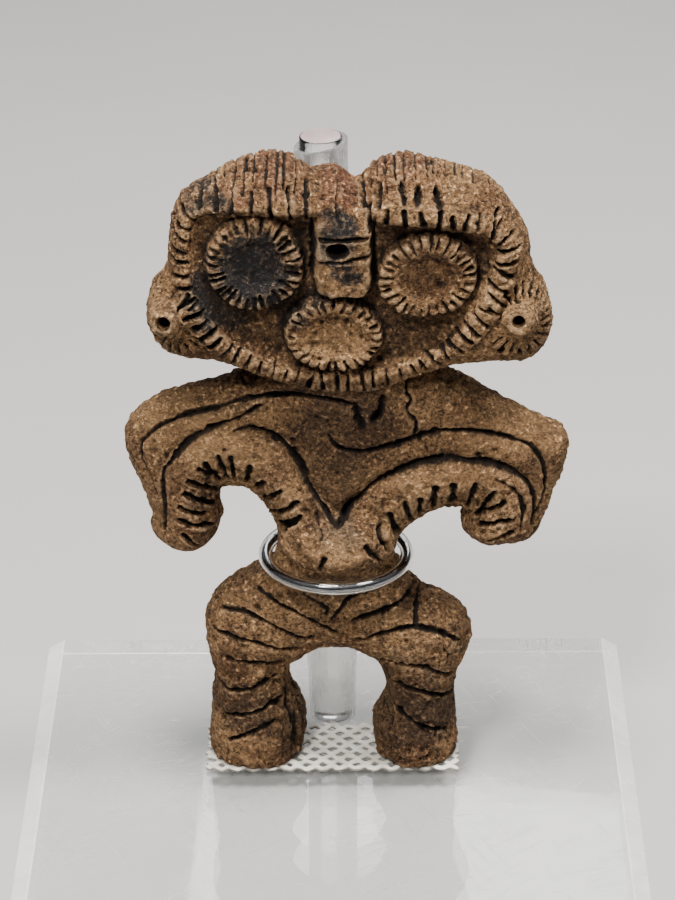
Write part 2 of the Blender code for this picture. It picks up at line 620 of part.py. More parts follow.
def carve(points, normals):
    """Carves the relief and every pressed line and notch into the figure's points."""
    rng = random.Random(31)
    places = points[:, [0, 2]]
    front = eased(-normals[:, 1], -0.05, 0.45)
    relief = face_relief(places) * eased(places[:, 1], 102.0, 105.0)
    arms = coil_relief(places) * eased(-places[:, 1], -96.0, -92.0) * eased(places[:, 1], 57.0, 60.0)
    carved = points.copy()
    carved[:, 1] -= front * (relief + arms)
    pressed = np.zeros(len(points))
    facing = eased(-normals[:, 1], -0.2, 0.3)
    press_lines(carved, pressed, BODY_LINES + LEG_LINES, facing, 0.35)
    press_lines(carved, pressed, NOSE_LINES, facing)
    press_disc_notches(carved, pressed, facing, rng)
    lower_rim = smooth_line(FACE_RIM[:RIM_OPEN_UNTIL], False)
    press_cross_notches(carved, pressed, lower_rim, RIM_NOTCHES, 2.2, 1.1, facing, rng)
    for x, low, high in BROW_NOTCHES:
        stroke(carved, pressed, (x, low), (x, high), 1.3, 1.5, facing)
    for line, count, half in ARM_NOTCHES:
        press_cross_notches(carved, pressed, smooth_line(line, False), count, half, 1.3, facing, rng)
    press_lobes(carved, pressed, eased(-normals[:, 1], 0.1, 0.5), rng)
    press_crest(carved, pressed, eased(-normals[:, 1], -0.7, -0.3))
    hole_at, hole_halves, hole_depth = NOSE_HOLE
    hole = ellipse_share(carved[:, [0, 2]], hole_at, hole_halves)
    pressed = np.maximum(pressed, facing * hole_depth * eased(-hole, -1.2, -0.6))
    press_lines(carved, pressed, BACK_LINES, eased(normals[:, 1], 0.2, 0.5), 0.35)
    return carved - normals * pressed[:, None]


def make_figure(parts, workshop, material):
    """The clay figure as one solid."""
    blocks = [
        outline_slab("head", HEAD_OUTLINE, HEAD_FRONT, HEAD_BACK, HEAD_EDGE, HEAD_Y, workshop),
        outline_slab("torso", TORSO_OUTLINE, TORSO_FRONT, TORSO_BACK, TORSO_EDGE, TORSO_Y, workshop),
        outline_slab("legs", LEGS_OUTLINE, LEGS_FRONT, LEGS_BACK, LEGS_EDGE, LEGS_Y, workshop),
    ]
    for name, (centre, halves) in MASSES.items():
        blocks.append(ellipsoid(name, centre, halves, workshop))
    for name, (foot, direction, length, wide, tip, _, _) in EAR_SPOOLS.items():
        blocks.append(cone(name + "_spool", foot, direction, length, wide, tip, SPOOL_SIDES, workshop))
    figure = remeshed(joined(blocks, "figure_block"), CARVE_VOXEL, BLEND_PASSES)
    mesh = figure.data
    set_points(mesh, pinched(points_of(mesh)))
    points = drilled(carve(points_of(mesh), normals_of(mesh)))
    points[:, 2] = np.maximum(points[:, 2], 0.0)
    set_points(mesh, points)
    thin = figure.modifiers.new("fewer_facets", "DECIMATE")
    triangles = sum(len(face.vertices) - 2 for face in mesh.polygons)
    thin.ratio = FIGURE_TRIANGLES / triangles
    figure = replaced_by_mesh(figure)
    mesh = figure.data
    mesh.transform(Matrix.Scale(FIGURE_SCALE, 4))
    mesh.transform(Matrix.Translation((FIGURE_X, FIGURE_Y, FIGURE_BASE_Z)))
    bpy.data.objects.remove(figure)
    return mesh_object("dogu_figurine", mesh, parts, material)


def flat_shape(name, outline, half_thickness, collection, material):
    """A flat outline, extruded both ways, as a curve object."""
    curve = bpy.data.curves.new(name, "CURVE")
    curve.dimensions = "2D"
    curve.fill_mode = "BOTH"
    curve.extrude = half_thickness
    spline = curve.splines.new("POLY")
    spline.points.add(len(outline) - 1)
    for point, (x, y) in zip(spline.points, outline):
        point.co = (x, y, 0, 1)
    spline.use_cyclic_u = True
    obj = bpy.data.objects.new(name, curve)
    collection.objects.link(obj)
    obj = replaced_by_mesh(obj)
    obj.data.materials.append(material)
    return obj


def make_plate(parts, material):
    """The clear base plate, with its two side edges bevelled on top."""
    half = PLATE_WIDTH / 2
    shoulder = PLATE_THICKNESS - PLATE_BEVEL_DROP
    section = [
        (-half, 0), (half, 0), (half, shoulder), (half - PLATE_BEVEL_WIDTH, PLATE_THICKNESS),
        (PLATE_BEVEL_WIDTH - half, PLATE_THICKNESS), (-half, shoulder),
    ]
    plate = flat_shape("base_plate", section, PLATE_DEPTH / 2, parts, material)
    plate.rotation_euler = (math.radians(90), 0, 0)
    return plate


def make_mat(parts, material):
    """The white grip mat under the soles, with its looped edges."""
    half = MAT_WIDTH / 2
    wide, deep = MAT_SCALLOPS_WIDE * MAT_SCALLOP_POINTS, MAT_SCALLOPS_DEEP * MAT_SCALLOP_POINTS
    outline = []
    for i in range(wide):
        wave = MAT_SCALLOP * math.cos(2 * math.pi * MAT_SCALLOPS_WIDE * i / wide)
        outline.append((MAT_WIDTH * i / wide - half, -wave))
    for i in range(deep):
        wave = MAT_SCALLOP * math.cos(2 * math.pi * MAT_SCALLOPS_DEEP * i / deep)
        outline.append((half + wave, MAT_DEPTH * i / deep))
    for i in range(wide):
        wave = MAT_SCALLOP * math.cos(2 * math.pi * MAT_SCALLOPS_WIDE * i / wide)
        outline.append((half - MAT_WIDTH * i / wide, MAT_DEPTH + wave))
    for i in range(deep):
        wave = MAT_SCALLOP * math.cos(2 * math.pi * MAT_SCALLOPS_DEEP * i / deep)
        outline.append((-half - wave, MAT_DEPTH - MAT_DEPTH * i / deep))
    mat = flat_shape("grip_mat", outline, MAT_THICKNESS / 2, parts, material)
    mat.location = (MAT_X, MAT_FRONT_Y, PLATE_THICKNESS + REST_GAP + MAT_THICKNESS / 2)
    return mat


def cut_with(obj, cutter, name):
    """Cuts one object with another."""
    cut = obj.modifiers.new(name, "BOOLEAN")
    cut.operation = "DIFFERENCE"
    cut.object = cutter
    cutter.hide_render = True
    cutter.display_type = "WIRE"


def post_frame():
    """The matrix that stands a piece at the post's foot, with the post's lean."""
    lean = Matrix.Rotation(math.radians(-POST_LEAN_DEG), 4, "Y")
    return Matrix.Translation((POST_X, POST_Y, POST_BASE_Z)) @ lean


def ring_back():
    """Where the ring's wire passes nearest the post: its y and z."""
    tilt = math.radians(RING_TILT_DEG)
    return RING_Y + RING_HALF_DEPTH * math.cos(tilt), RING_Z + RING_HALF_DEPTH * math.sin(tilt)


def stem_x():
    """Where the post's axis passes, at the height of the ring's back."""
    return POST_X - math.tan(math.radians(POST_LEAN_DEG)) * (ring_back()[1] - POST_BASE_Z)


def stem_cutter(name, cutters):
    """The drill for the ring's stem, through the sleeve and into the post."""
    radius = RING_WIRE / 2 + FIT_GAP
    start_y = POST_Y - POST_RADIUS - FIT_GAP - 2 * SLEEVE_WALL
    length = POST_Y - POST_RADIUS + RING_STEM_BITE + FIT_GAP - start_y
    return cone(
        name, (stem_x(), start_y, ring_back()[1]), (0, 1, 0), length, radius, radius,
        WIRE_SIDES * 2, cutters,
    )


def make_post(parts, cutters, material):
    """The clear rod behind the figure."""
    lift = POST_RADIUS * math.sin(math.radians(POST_LEAN_DEG))
    post = cone("support_post", (0, 0, lift), (0, 0, 1), POST_HEIGHT, POST_RADIUS, POST_RADIUS, ROUND_SIDES, parts)
    post.data.materials.append(material)
    post.data.transform(post_frame())
    cut_with(post, stem_cutter("post_drill", cutters), "stem_hole")
    return post


def make_post_sleeve(parts, cutters, material):
    """The clear tube pulled over the post: narrower at its foot, and cut at a slant at the top."""
    bore, outer = SLEEVE_BORE_RADIUS, SLEEVE_BORE_RADIUS + SLEEVE_WALL
    foot = SLEEVE_BORE_RADIUS + SLEEVE_FOOT_WALL
    low = outer * math.sin(math.radians(POST_LEAN_DEG))
    top = POST_HEIGHT - SLEEVE_BELOW_POST_TOP
    profile = [(bore, top), (outer, top), (outer, low + SLEEVE_TAPER_HEIGHT), (foot, low), (bore, low)]
    mesh = bpy.data.meshes.new("post_sleeve")
    shape = bmesh.new()
    ring = [shape.verts.new((x, 0, z)) for x, z in profile]
    edges = [shape.edges.new((ring[i], ring[(i + 1) % len(ring)])) for i in range(len(ring))]
    bmesh.ops.spin(
        shape, geom=ring + edges, cent=(0, 0, 0), axis=(0, 0, 1), angle=2 * math.pi,
        steps=ROUND_SIDES, use_merge=True,
    )
    bmesh.ops.recalc_face_normals(shape, faces=shape.faces)
    shape.to_mesh(mesh)
    shape.free()
    mesh.transform(post_frame())
    sleeve = mesh_object("post_sleeve", mesh, parts, material)
    slant = math.atan2(SLEEVE_CUT_SLANT, 2 * outer)
    reach = 4 * outer
    wedge = cone("slant_cutter", (0, 0, 0), (0, 0, 1), reach, reach, reach, 4, cutters)
    middle = top - SLEEVE_CUT_SLANT / 2
    wedge.data.transform(
        post_frame() @ Matrix.Translation((0, 0, middle)) @ Matrix.Rotation(-slant, 4, "Y")
    )
    cut_with(sleeve, wedge, "slant_top")
    cut_with(sleeve, stem_cutter("sleeve_drill", cutters), "stem_hole")
    return sleeve


def arc_tube(name, start_deg, end_deg, steps, radius, closed, collection):
    """A tube along an arc of the ring, as a mesh. Zero degrees is towards the post."""
    tilt = math.radians(RING_TILT_DEG)
    curve = bpy.data.curves.new(name, "CURVE")
    curve.dimensions = "3D"
    curve.bevel_depth = radius
    curve.bevel_resolution = WIRE_SIDES // 2 - 2
    curve.use_fill_caps = True
    spline = curve.splines.new("POLY")
    count = steps if closed else steps + 1
    spline.points.add(count - 1)
    for i, point in enumerate(spline.points):
        angle = math.radians(start_deg + (end_deg - start_deg) * i / steps)
        back = RING_HALF_DEPTH * math.cos(angle)
        point.co = (
            RING_X + RING_HALF_WIDTH * math.sin(angle), RING_Y + back * math.cos(tilt),
            RING_Z + back * math.sin(tilt), 1,
        )
    spline.use_cyclic_u = closed
    obj = bpy.data.objects.new(name, curve)
    collection.objects.link(obj)
    return replaced_by_mesh(obj)


def make_ring(parts, cutters, material):
    """The steel ring round the waist, with the stem that enters the post."""
    ring = arc_tube("waist_ring", 0, 360, RING_STEPS, RING_WIRE / 2, True, parts)
    ring.data.materials.append(material)
    back_y, back_z = ring_back()
    start_y = back_y - RING_WIRE / 4
    length = POST_Y - POST_RADIUS + RING_STEM_BITE - start_y
    radius = RING_WIRE / 2 * 0.96
    stem = cone("ring_stem", (stem_x(), start_y, back_z), (0, 1, 0), length, radius, radius, WIRE_SIDES, cutters)
    stem.hide_render = True
    stem.display_type = "WIRE"
    weld = ring.modifiers.new("stem", "BOOLEAN")
    weld.operation = "UNION"
    weld.object = stem
    return ring


def make_ring_sleeve(parts, cutters, material):
    """The clear tube over the ring, open at the back where the stem leaves it."""
    bore = RING_WIRE / 2 + FIT_GAP
    opening = RING_SLEEVE_OPEN_DEG / 2
    sleeve = arc_tube(
        "ring_sleeve", opening, 360 - opening, RING_SLEEVE_STEPS, bore + RING_SLEEVE_WALL, False, parts
    )
    sleeve.data.materials.append(material)
    past = opening / 2
    hollow = arc_tube("ring_bore", past, 360 - past, RING_STEPS, bore, False, cutters)
    cut_with(sleeve, hollow, "bore")
    return sleeve


def main():
    """Builds every piece."""
    clear_scene()
    parts = new_collection("dogu_on_stand")
    workshop = new_collection("workshop")
    workshop.hide_render = True
    clay = new_material("fired_clay", CLAY)
    acrylic = new_material("clear_acrylic", ACRYLIC)
    vinyl = new_material("clear_vinyl", VINYL)
    steel = new_material("polished_steel", STEEL)
    knit = new_material("white_knit", KNIT)
    make_plate(parts, acrylic)
    make_mat(parts, knit)
    make_figure(parts, workshop, clay)
    make_post(parts, workshop, acrylic)
    make_post_sleeve(parts, workshop, vinyl)
    make_ring(parts, workshop, steel)
    make_ring_sleeve(parts, workshop, vinyl)


main()
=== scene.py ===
"""The dogu figurine on its clear stand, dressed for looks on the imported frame.

The figure is shaped in figure units: 160 of them are its full height, x to the right as seen from the
front, z up from its soles, and its front faces -y. Everything else is in metres.
"""

import logging
import math
import random
from dataclasses import dataclass
from enum import Enum, IntEnum
from typing import Any, Iterator, Sequence

import bmesh
import bpy
import numpy as np
from mathutils import Matrix, Vector
from mathutils.kdtree import KDTree


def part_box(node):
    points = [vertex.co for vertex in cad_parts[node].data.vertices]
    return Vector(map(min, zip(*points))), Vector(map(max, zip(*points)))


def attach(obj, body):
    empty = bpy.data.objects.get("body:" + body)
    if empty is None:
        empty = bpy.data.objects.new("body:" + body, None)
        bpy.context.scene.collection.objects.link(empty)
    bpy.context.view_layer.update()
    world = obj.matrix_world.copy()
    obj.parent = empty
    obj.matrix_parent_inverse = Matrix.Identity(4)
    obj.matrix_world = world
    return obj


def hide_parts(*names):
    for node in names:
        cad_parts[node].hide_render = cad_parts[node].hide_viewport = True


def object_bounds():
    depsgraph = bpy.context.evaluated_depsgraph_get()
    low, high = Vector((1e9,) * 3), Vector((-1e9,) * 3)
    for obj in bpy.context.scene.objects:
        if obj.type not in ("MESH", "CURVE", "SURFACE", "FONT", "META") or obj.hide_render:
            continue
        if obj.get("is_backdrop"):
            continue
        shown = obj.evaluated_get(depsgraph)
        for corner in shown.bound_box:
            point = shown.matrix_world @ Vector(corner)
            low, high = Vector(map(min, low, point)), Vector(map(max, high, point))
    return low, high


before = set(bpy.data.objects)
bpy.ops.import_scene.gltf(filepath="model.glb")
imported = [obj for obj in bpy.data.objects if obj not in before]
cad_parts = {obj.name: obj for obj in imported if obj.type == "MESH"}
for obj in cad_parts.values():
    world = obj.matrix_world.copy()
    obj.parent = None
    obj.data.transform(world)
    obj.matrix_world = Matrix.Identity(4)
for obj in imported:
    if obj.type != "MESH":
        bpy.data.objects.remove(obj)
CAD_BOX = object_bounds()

LOG = logging.getLogger("dogu_on_stand")

Array = np.ndarray
Place = tuple[float, float]
Point = tuple[float, float, float]
Colour = tuple[float, float, float, float]
Line = tuple[list[Place], float, float]

BODY = "root"
WELD_GAP = 1e-7


class Seed(IntEnum):
    """Where each run of random numbers starts."""

    YARN = 3
    MAT = 5
    SKIN = 7
    PITS = 19
    RAGGED_EDGES = 23
    CARVING = 31
    STAINS = 43


# Outlines and carving of the figure, in figure units

HEAD_OUTLINE: list[Place] = [
    (-11, 104.6), (-19.5, 107.2), (-27.4, 109.4), (-35.4, 110.9), (-40.4, 115.2), (-41.9, 121.8),
    (-40.2, 128.2), (-36.8, 132.9), (-36.3, 140.3), (-33.5, 150.2), (-26.7, 154.2), (-20.1, 158),
    (-13.3, 160), (-7.6, 159.5), (-3.4, 156.3), (2.8, 156.9), (7.2, 153.2), (10.3, 157.5),
    (17.3, 159.6), (27.1, 157.4), (36.2, 154), (42.3, 148), (46.2, 140.3), (47.3, 132.9),
    (50.5, 127.3), (52.2, 118.4), (49.4, 111.2), (43.6, 108.7), (34.4, 108.8), (25, 107), (15, 104.2),
    (3, 102.8),
]
TORSO_OUTLINE: list[Place] = [
    (-18.8, 106.4), (-24.5, 103.3), (-32.2, 101.2), (-38.9, 99), (-44, 95.6), (-47.6, 91.2),
    (-48, 85), (-45.8, 78.7), (-43.4, 72.1), (-42.2, 67.9), (-42.9, 64), (-40.6, 60.2), (-36.4, 57.6),
    (-31.6, 57.6), (-27.5, 61.6), (-25.1, 66.6), (-25.7, 71.3), (-25.3, 75), (-21.5, 75.3),
    (-17.4, 72.6), (-14.3, 67.5), (-12.5, 60.7), (-13.2, 49.7), (1.4, 45.5), (15.2, 49.6),
    (15.7, 57.9), (18.3, 63.1), (22.6, 66.8), (28.1, 68.9), (32.2, 68.9), (31.2, 65.4), (32.3, 62),
    (36.1, 59.7), (41.6, 59), (47, 59.8), (50.4, 63.2), (52.6, 69.8), (55.2, 77.6), (56.8, 85.3),
    (55.6, 89.6), (51, 92.1), (44, 95.6), (36.9, 99.8), (29.7, 104.3), (21.5, 108), (-9.5, 108.5),
]
LEGS_OUTLINE: list[Place] = [
    (-10.9, 56), (-17.6, 52.6), (-23.6, 48.8), (-28.1, 44.4), (-30.5, 38.3), (-30.3, 31.5),
    (-29.1, 24.8), (-29.1, 15.4), (-30.1, 7.1), (-30, -0.2), (-25.6, -7.5), (-17.5, -9.1),
    (-10.3, -6), (-7.1, 1.8), (-6.2, 8.5), (-7, 14.2), (-9.5, 19.7), (-9.6, 23.8), (-6.5, 27.8),
    (-2, 30.3), (2.7, 30.4), (7.8, 28.5), (11.7, 24.2), (13.4, 18.7), (12, 14.5), (10.1, 10),
    (10.1, 4.8), (11.7, -2), (15.8, -7.2), (22.5, -8.8), (28.6, -5.7), (31, 1), (31, 8.8),
    (30.5, 16.1), (31.3, 23.4), (33.8, 30.1), (34.3, 35.6), (32, 40.6), (27.3, 43.9), (22, 46),
    (18.8, 49.8), (14, 55.8),
]
FACE_RIM: list[Place] = [
    (-31.5, 150.4), (-33.6, 144.5), (-33.7, 136.8), (-32.2, 129.4), (-28.8, 122.5), (-24.4, 117),
    (-17.8, 112.4), (-9.7, 109.2), (-0.5, 107.3), (10, 107.4), (19.4, 110), (27.4, 114.8),
    (33.8, 121.6), (38.3, 129), (41.2, 136.3), (41.4, 142.3), (37.4, 146.4), (30, 148.4), (21.5, 149.3),
    (13, 150.2), (4, 151.8), (-7, 152.2), (-20, 152.6),
]
BROW_NOTCHES: list[tuple[float, float, float]] = [
    (-28.5, 150.8, 154), (-25, 151, 155), (-21.3, 149.6, 155), (-16.8, 150.4, 154.8),
    (-12.5, 148.6, 155.2), (-8.1, 148.2, 155.4), (-4.3, 148.6, 155.4), (8.2, 151.4, 156),
    (11.8, 151.6, 155.8), (17.3, 152.4, 156.2), (20.9, 152.4, 155.3), (25.3, 151.8, 155),
    (9.8, 146, 151.6), (13.6, 147.4, 151), (17.8, 146, 151), (21.7, 147, 150.4), (25.6, 145.4, 150.4),
    (28.7, 146, 149.4), (31.7, 146.2, 149.5), (34.6, 146.6, 149.5), (38.3, 143.8, 148.9),
]
NOSE_LINES: list[Line] = [
    ([(-2.4, 144.6), (3, 144), (9.4, 144.6)], 1.1, 1.3),
    ([(-2.2, 139), (3, 138.6), (10, 140)], 1.0, 1.1),
    ([(-3.2, 149), (-3, 143), (-3.2, 134)], 1.3, 1.4),
    ([(10.9, 149), (10.6, 142), (10.8, 134)], 1.3, 1.4),
    ([(3.2, 156.5), (2.6, 152), (3.4, 147.5)], 1.1, 1.1),
]
ARM_COIL: list[Place] = [
    (-34.6, 64.5), (-35.8, 74.5), (-34.2, 81.4), (-30.3, 86.4), (-24.5, 89), (-18.8, 88), (-13.9, 84.2),
    (-10.4, 79), (-6.6, 73), (-1.4, 67.4), (3.2, 65.8), (9, 68.9), (15.6, 74.2), (22, 78.4),
    (28.5, 80.6), (35, 80.3), (40.4, 77.6), (42.6, 73), (42, 68), (38.4, 65),
]
# Each cut: its wide head, its foot, and its half-width. All but one run across an arm coil to its inner
# edge, and that one nicks the belly under the coils.
ARM_CUTS: list[tuple[Place, Place, float]] = [
    ((-34.6, 66.3), (-32.5, 63.8), 1.0), ((-35.2, 70.3), (-29.9, 67.7), 1.15),
    ((-35.2, 74.0), (-31.2, 71.5), 0.95), ((-33.7, 77.6), (-29.4, 73.7), 1.2),
    ((-32.7, 81.0), (-28.1, 77.2), 1.15), ((-30.4, 84.0), (-26.9, 81.0), 1.1),
    ((-28.9, 85.4), (-26.6, 80.6), 1.1), ((-25.7, 87.1), (-24.4, 82.0), 1.1),
    ((-22.8, 86.9), (-22.3, 81.7), 1.05), ((-18.4, 84.4), (-19.2, 80.4), 1.35),
    ((-15.2, 80.6), (-16.6, 78.0), 1.3), ((-11.6, 77.8), (-14.5, 74.8), 1.4),
    ((-7.6, 75.1), (-12.1, 70.9), 1.4), ((-6.8, 71.3), (-10.2, 68.1), 1.3),
    ((-1.2, 64.0), (-1.9, 61.2), 1.25), ((8.9, 66.4), (11.2, 62.4), 1.35),
    ((11.9, 69.2), (13.4, 64.6), 1.1), ((14.2, 71.6), (16.0, 66.8), 1.3),
    ((17.9, 74.7), (19.1, 69.9), 1.35), ((21.4, 75.7), (21.7, 71.1), 1.35),
    ((25.2, 78.7), (24.9, 73.9), 1.25), ((29.4, 79.3), (29.2, 74.6), 1.25),
    ((34.5, 79.3), (33.3, 73.8), 1.15), ((38.9, 77.7), (36.5, 72.5), 1.1),
    ((40.9, 74.5), (36.8, 71.3), 1.05), ((42.7, 70.3), (37.8, 68.6), 1.05),
    ((43.6, 66.7), (39.5, 64.9), 1.0),
]
BODY_LINES: list[Line] = [
    ([(-44.3, 87), (-44.2, 89.4), (-41.7, 92.4), (-38, 95), (-32.2, 97.4), (-25.7, 99), (-20, 101),
      (-14.3, 102.1), (-9.3, 102.6), (-2.2, 102.3), (4.2, 101), (7.4, 99.3), (7.8, 94.8)], 1.2, 1.3),
    ([(13.1, 102.4), (12.7, 98.4), (10.6, 95.6)], 1.8, 1.7),
    ([(6.6, 99.2), (7.9, 94.2)], 1.9, 1.9),
    ([(-39.5, 64.5), (-39, 74.2), (-39, 81.6), (-36.8, 85.7), (-32.4, 91), (-26.6, 94.2), (-20.1, 96.9),
      (-15.8, 99.7)], 1.2, 1.3),
    ([(-22, 93.3), (-17.3, 93.9), (-13, 92.1), (-9.5, 88.8), (-6.4, 83.9), (-4.3, 78.2), (-1.1, 73.2),
      (2.2, 71.1), (6.2, 74.4), (11.2, 79.3), (17.7, 82.9), (24.9, 85.4), (32.1, 85.5), (38.5, 84.3),
      (43.6, 82), (47.6, 77.9), (49, 72.9), (48.4, 66.3)], 1.3, 1.6),
    ([(0.2, 91.6), (1.9, 88.7), (6.2, 87.3), (11.3, 87.9), (17, 89.5), (22.7, 91.9), (29.1, 92.8),
      (37, 92.2), (44.2, 90.1), (48.5, 87.7), (51.1, 81.9), (51.4, 76.2), (49.6, 69.9)], 1.2, 1.4),
    ([(39.3, 80.8), (43.7, 77.9), (45.9, 72.9), (45.3, 66.3)], 1.0, 0.9),
    ([(-44.4, 87), (-44, 84.5), (-42, 80.4), (-40.8, 76)], 1.0, 0.9),
]
LEG_LINES: list[Line] = [
    ([(-6.4, 49.5), (-0.9, 45.7), (-0.9, 44.1)], 1.1, 1.1),
    ([(12.4, 51.5), (4.5, 48.4), (3.2, 46), (0.4, 42.6)], 1.1, 1.1),
    ([(-17.4, 49.8), (-6.5, 43.6), (1.8, 38.3)], 1.0, 1.1),
    ([(5.4, 42.2), (14.6, 45.4), (20.6, 47.5)], 1.1, 1.2),
    ([(-26.3, 43.8), (-18.9, 43.9), (-8, 37.5), (-3.8, 37.1)], 1.1, 1.2),
    ([(7.2, 36.2), (13.3, 38.7), (20.2, 40), (27.1, 38.1), (31.7, 34.5)], 1.2, 1.4),
    ([(-28.9, 38.1), (-20.9, 37), (-13.6, 34.5), (-7.1, 33.4)], 1.1, 1.2),
    ([(12.3, 30), (21.6, 29.2), (24.9, 27.8), (30.6, 23.9)], 1.2, 1.3),
    ([(-26.9, 30.8), (-20.1, 30.6), (-10.8, 29.3)], 1.0, 1.1),
    ([(14.8, 22.6), (22.5, 21.7), (30.4, 17.6)], 1.1, 1.2),
    ([(-28.6, 23.2), (-24, 21.8), (-12.7, 25.3)], 1.1, 1.1),
    ([(-26, 14.1), (-18, 16.5), (-11.8, 18.9)], 1.2, 1.2),
    ([(15, 16.6), (21.6, 12.3), (28.5, 9)], 1.1, 1.2),
    ([(-25.3, 7.4), (-13.6, 13.4)], 1.1, 1.1),
]
BACK_LINES: list[Line] = [
    ([(-42.5, 85.3), (-30.1, 92.6), (-11.6, 96.7), (3.8, 90.3), (19.2, 96.5), (37.7, 92.2),
      (49.9, 84.8)], 1.2, 1.2),
    ([(-38.4, 76.9), (-26.1, 85.2), (-7.6, 85.1), (3.7, 76.7), (15, 85), (33.5, 84.9),
      (46.8, 76.4)], 1.2, 1.2),
    ([(-20.1, 49.6), (-7.9, 44.3), (2.3, 39.1), (12.6, 44.2), (25, 48.3)], 1.2, 1.2),
    ([(-27.4, 39.2), (-14.1, 36), (-3.8, 34.9)], 1.1, 1.1),
    ([(31, 36.8), (18.7, 35.9), (8.4, 34.9)], 1.1, 1.1),
    ([(-27.5, 23.6), (-11.1, 25.6)], 1.1, 1.1),
    ([(29.8, 21.2), (15.5, 24.4)], 1.1, 1.1),
    ([(-21.7, 123), (-13.5, 114.5), (3.9, 111.3), (21.4, 114.3), (31.8, 122.7)], 1.2, 1.2),
]
# Fine cracks that opened as the clay dried
CRACKS: list[Line] = [
    ([(18.9, 106.4), (18.2, 103.6), (19.3, 100.9), (18.4, 98.2), (20.6, 94.9), (20.3, 91.8),
      (21.9, 90.1)], 0.75, 1.4),
    ([(20.7, 53.6), (21.4, 50.6), (22.1, 47.1), (25.5, 45.6), (29.1, 44.2)], 1.0, 1.8),
    ([(22.1, 47.1), (21.0, 43.9), (20.9, 40.6)], 0.85, 1.5),
    ([(22.8, 88.6), (23.3, 87.2), (23.1, 85.9)], 0.5, 0.7),
    ([(28.3, 36.9), (27.5, 34.2), (28.8, 31.9), (28.2, 29.4)], 0.5, 0.8),
    ([(-3.1, 71.8), (-1.6, 69.4), (-2.4, 67.6)], 0.5, 0.8),
    ([(-22.9, 47.1), (-19.2, 46.4), (-15.8, 44.6)], 0.45, 0.6),
    ([(-16.8, 98.3), (-15.1, 99.8), (-12.9, 101.3)], 0.5, 0.8),
    ([(25.2, 12.4), (26.1, 10.2), (25.4, 8.1)], 0.5, 0.7),
    ([(-21.4, 106.0), (-18.7, 103.4), (-17.9, 100.6)], 0.4, 0.6),
]


# Small numeric tools

def smooth_line(points: Sequence[Place], closed: bool, steps: int = 6) -> Array:
    """Runs a Catmull-Rom curve through the points.

    Args:
        points: The (x, z) knots.
        closed: Whether the curve returns to its start.
        steps: Samples for each span.

    Returns:
        The samples, one row each.
    """
    knots = np.array(points, float)
    count = len(knots)
    found = []
    for i in range(count if closed else count - 1):
        ahead = [i - 1, i, i + 1, i + 2]
        if closed:
            p0, p1, p2, p3 = (knots[k % count] for k in ahead)
        else:
            p0, p1, p2, p3 = (knots[min(max(k, 0), count - 1)] for k in ahead)
        for t in np.arange(steps) / steps:
            found.append(
                0.5 * (2 * p1 + (p2 - p0) * t + (2 * p0 - 5 * p1 + 4 * p2 - p3) * t**2
                       + (3 * p1 - p0 - 3 * p2 + p3) * t**3)
            )
    if not closed:
        found.append(knots[-1])
    return np.array(found)


def spans_of(line: Array, closed: bool) -> list[tuple[Array, Array]]:
    """The line's segments as (start, end) pairs."""
    ends = np.roll(line, -1, axis=0) if closed else line[1:]
    return list(zip(line[: len(ends)], ends))


def distance_to(places: Array, line: Array, closed: bool) -> Array:
    """Distance of each (x, z) place to the line."""
    nearest = np.full(len(places), np.inf)
    for a, b in spans_of(line, closed):
        along = b - a
        t = np.clip(((places - a) @ along) / max(along @ along, 1e-12), 0, 1)
        gap = places - a - t[:, None] * along
        nearest = np.minimum(nearest, np.einsum("ij,ij->i", gap, gap))
    return np.sqrt(nearest)


def inside(places: Array, line: Array) -> Array:
    """Whether each (x, z) place lies within the closed line."""
    crossed = np.zeros(len(places), bool)
    x, z = places[:, 0], places[:, 1]
    for a, b in spans_of(line, True):
        if a[1] == b[1]:
            continue
        at = a[0] + (z - a[1]) * (b[0] - a[0]) / (b[1] - a[1])
        crossed ^= ((a[1] > z) != (b[1] > z)) & (x < at)
    return crossed


def eased(value: Array, low: float, high: float) -> Array:
    """0 below low, 1 above high, and a smooth step between."""
    t = np.clip((value - low) / (high - low), 0, 1)
    return t * t * (3 - 2 * t)


def ellipse_share(places: Array, centre: Place, halves: Place, tilt_deg: float = 0.0,
                  power: float = 2.0) -> Array:
    """How far out each place is on a tilted ellipse.

    Args:
        places: The (x, z) places.
        centre: The ellipse's centre.
        halves: Its half-sizes.
        tilt_deg: Its tilt.
        power: 2 for an ellipse, more for a rounded rectangle.

    Returns:
        0 at the centre and 1 at the edge.
    """
    turn = math.radians(tilt_deg)
    x, z = places[:, 0] - centre[0], places[:, 1] - centre[1]
    along = np.abs(x * math.cos(turn) + z * math.sin(turn)) / halves[0]
    across = np.abs(-x * math.sin(turn) + z * math.cos(turn)) / halves[1]
    return (along**power + across**power) ** (1 / power)


def even_places(line: Array, count: int) -> Iterator[tuple[Array, Array]]:
    """Yields points and directions spaced evenly along an open line."""
    steps = np.linalg.norm(np.diff(line, axis=0), axis=1)
    run = np.concatenate([[0], np.cumsum(steps)])
    for s in (np.arange(count) + 0.5) / count * run[-1]:
        k = min(int(np.searchsorted(run, s, "right")) - 1, len(steps) - 1)
        direction = (line[k + 1] - line[k]) / max(steps[k], 1e-9)
        yield line[k] + direction * (s - run[k]), direction


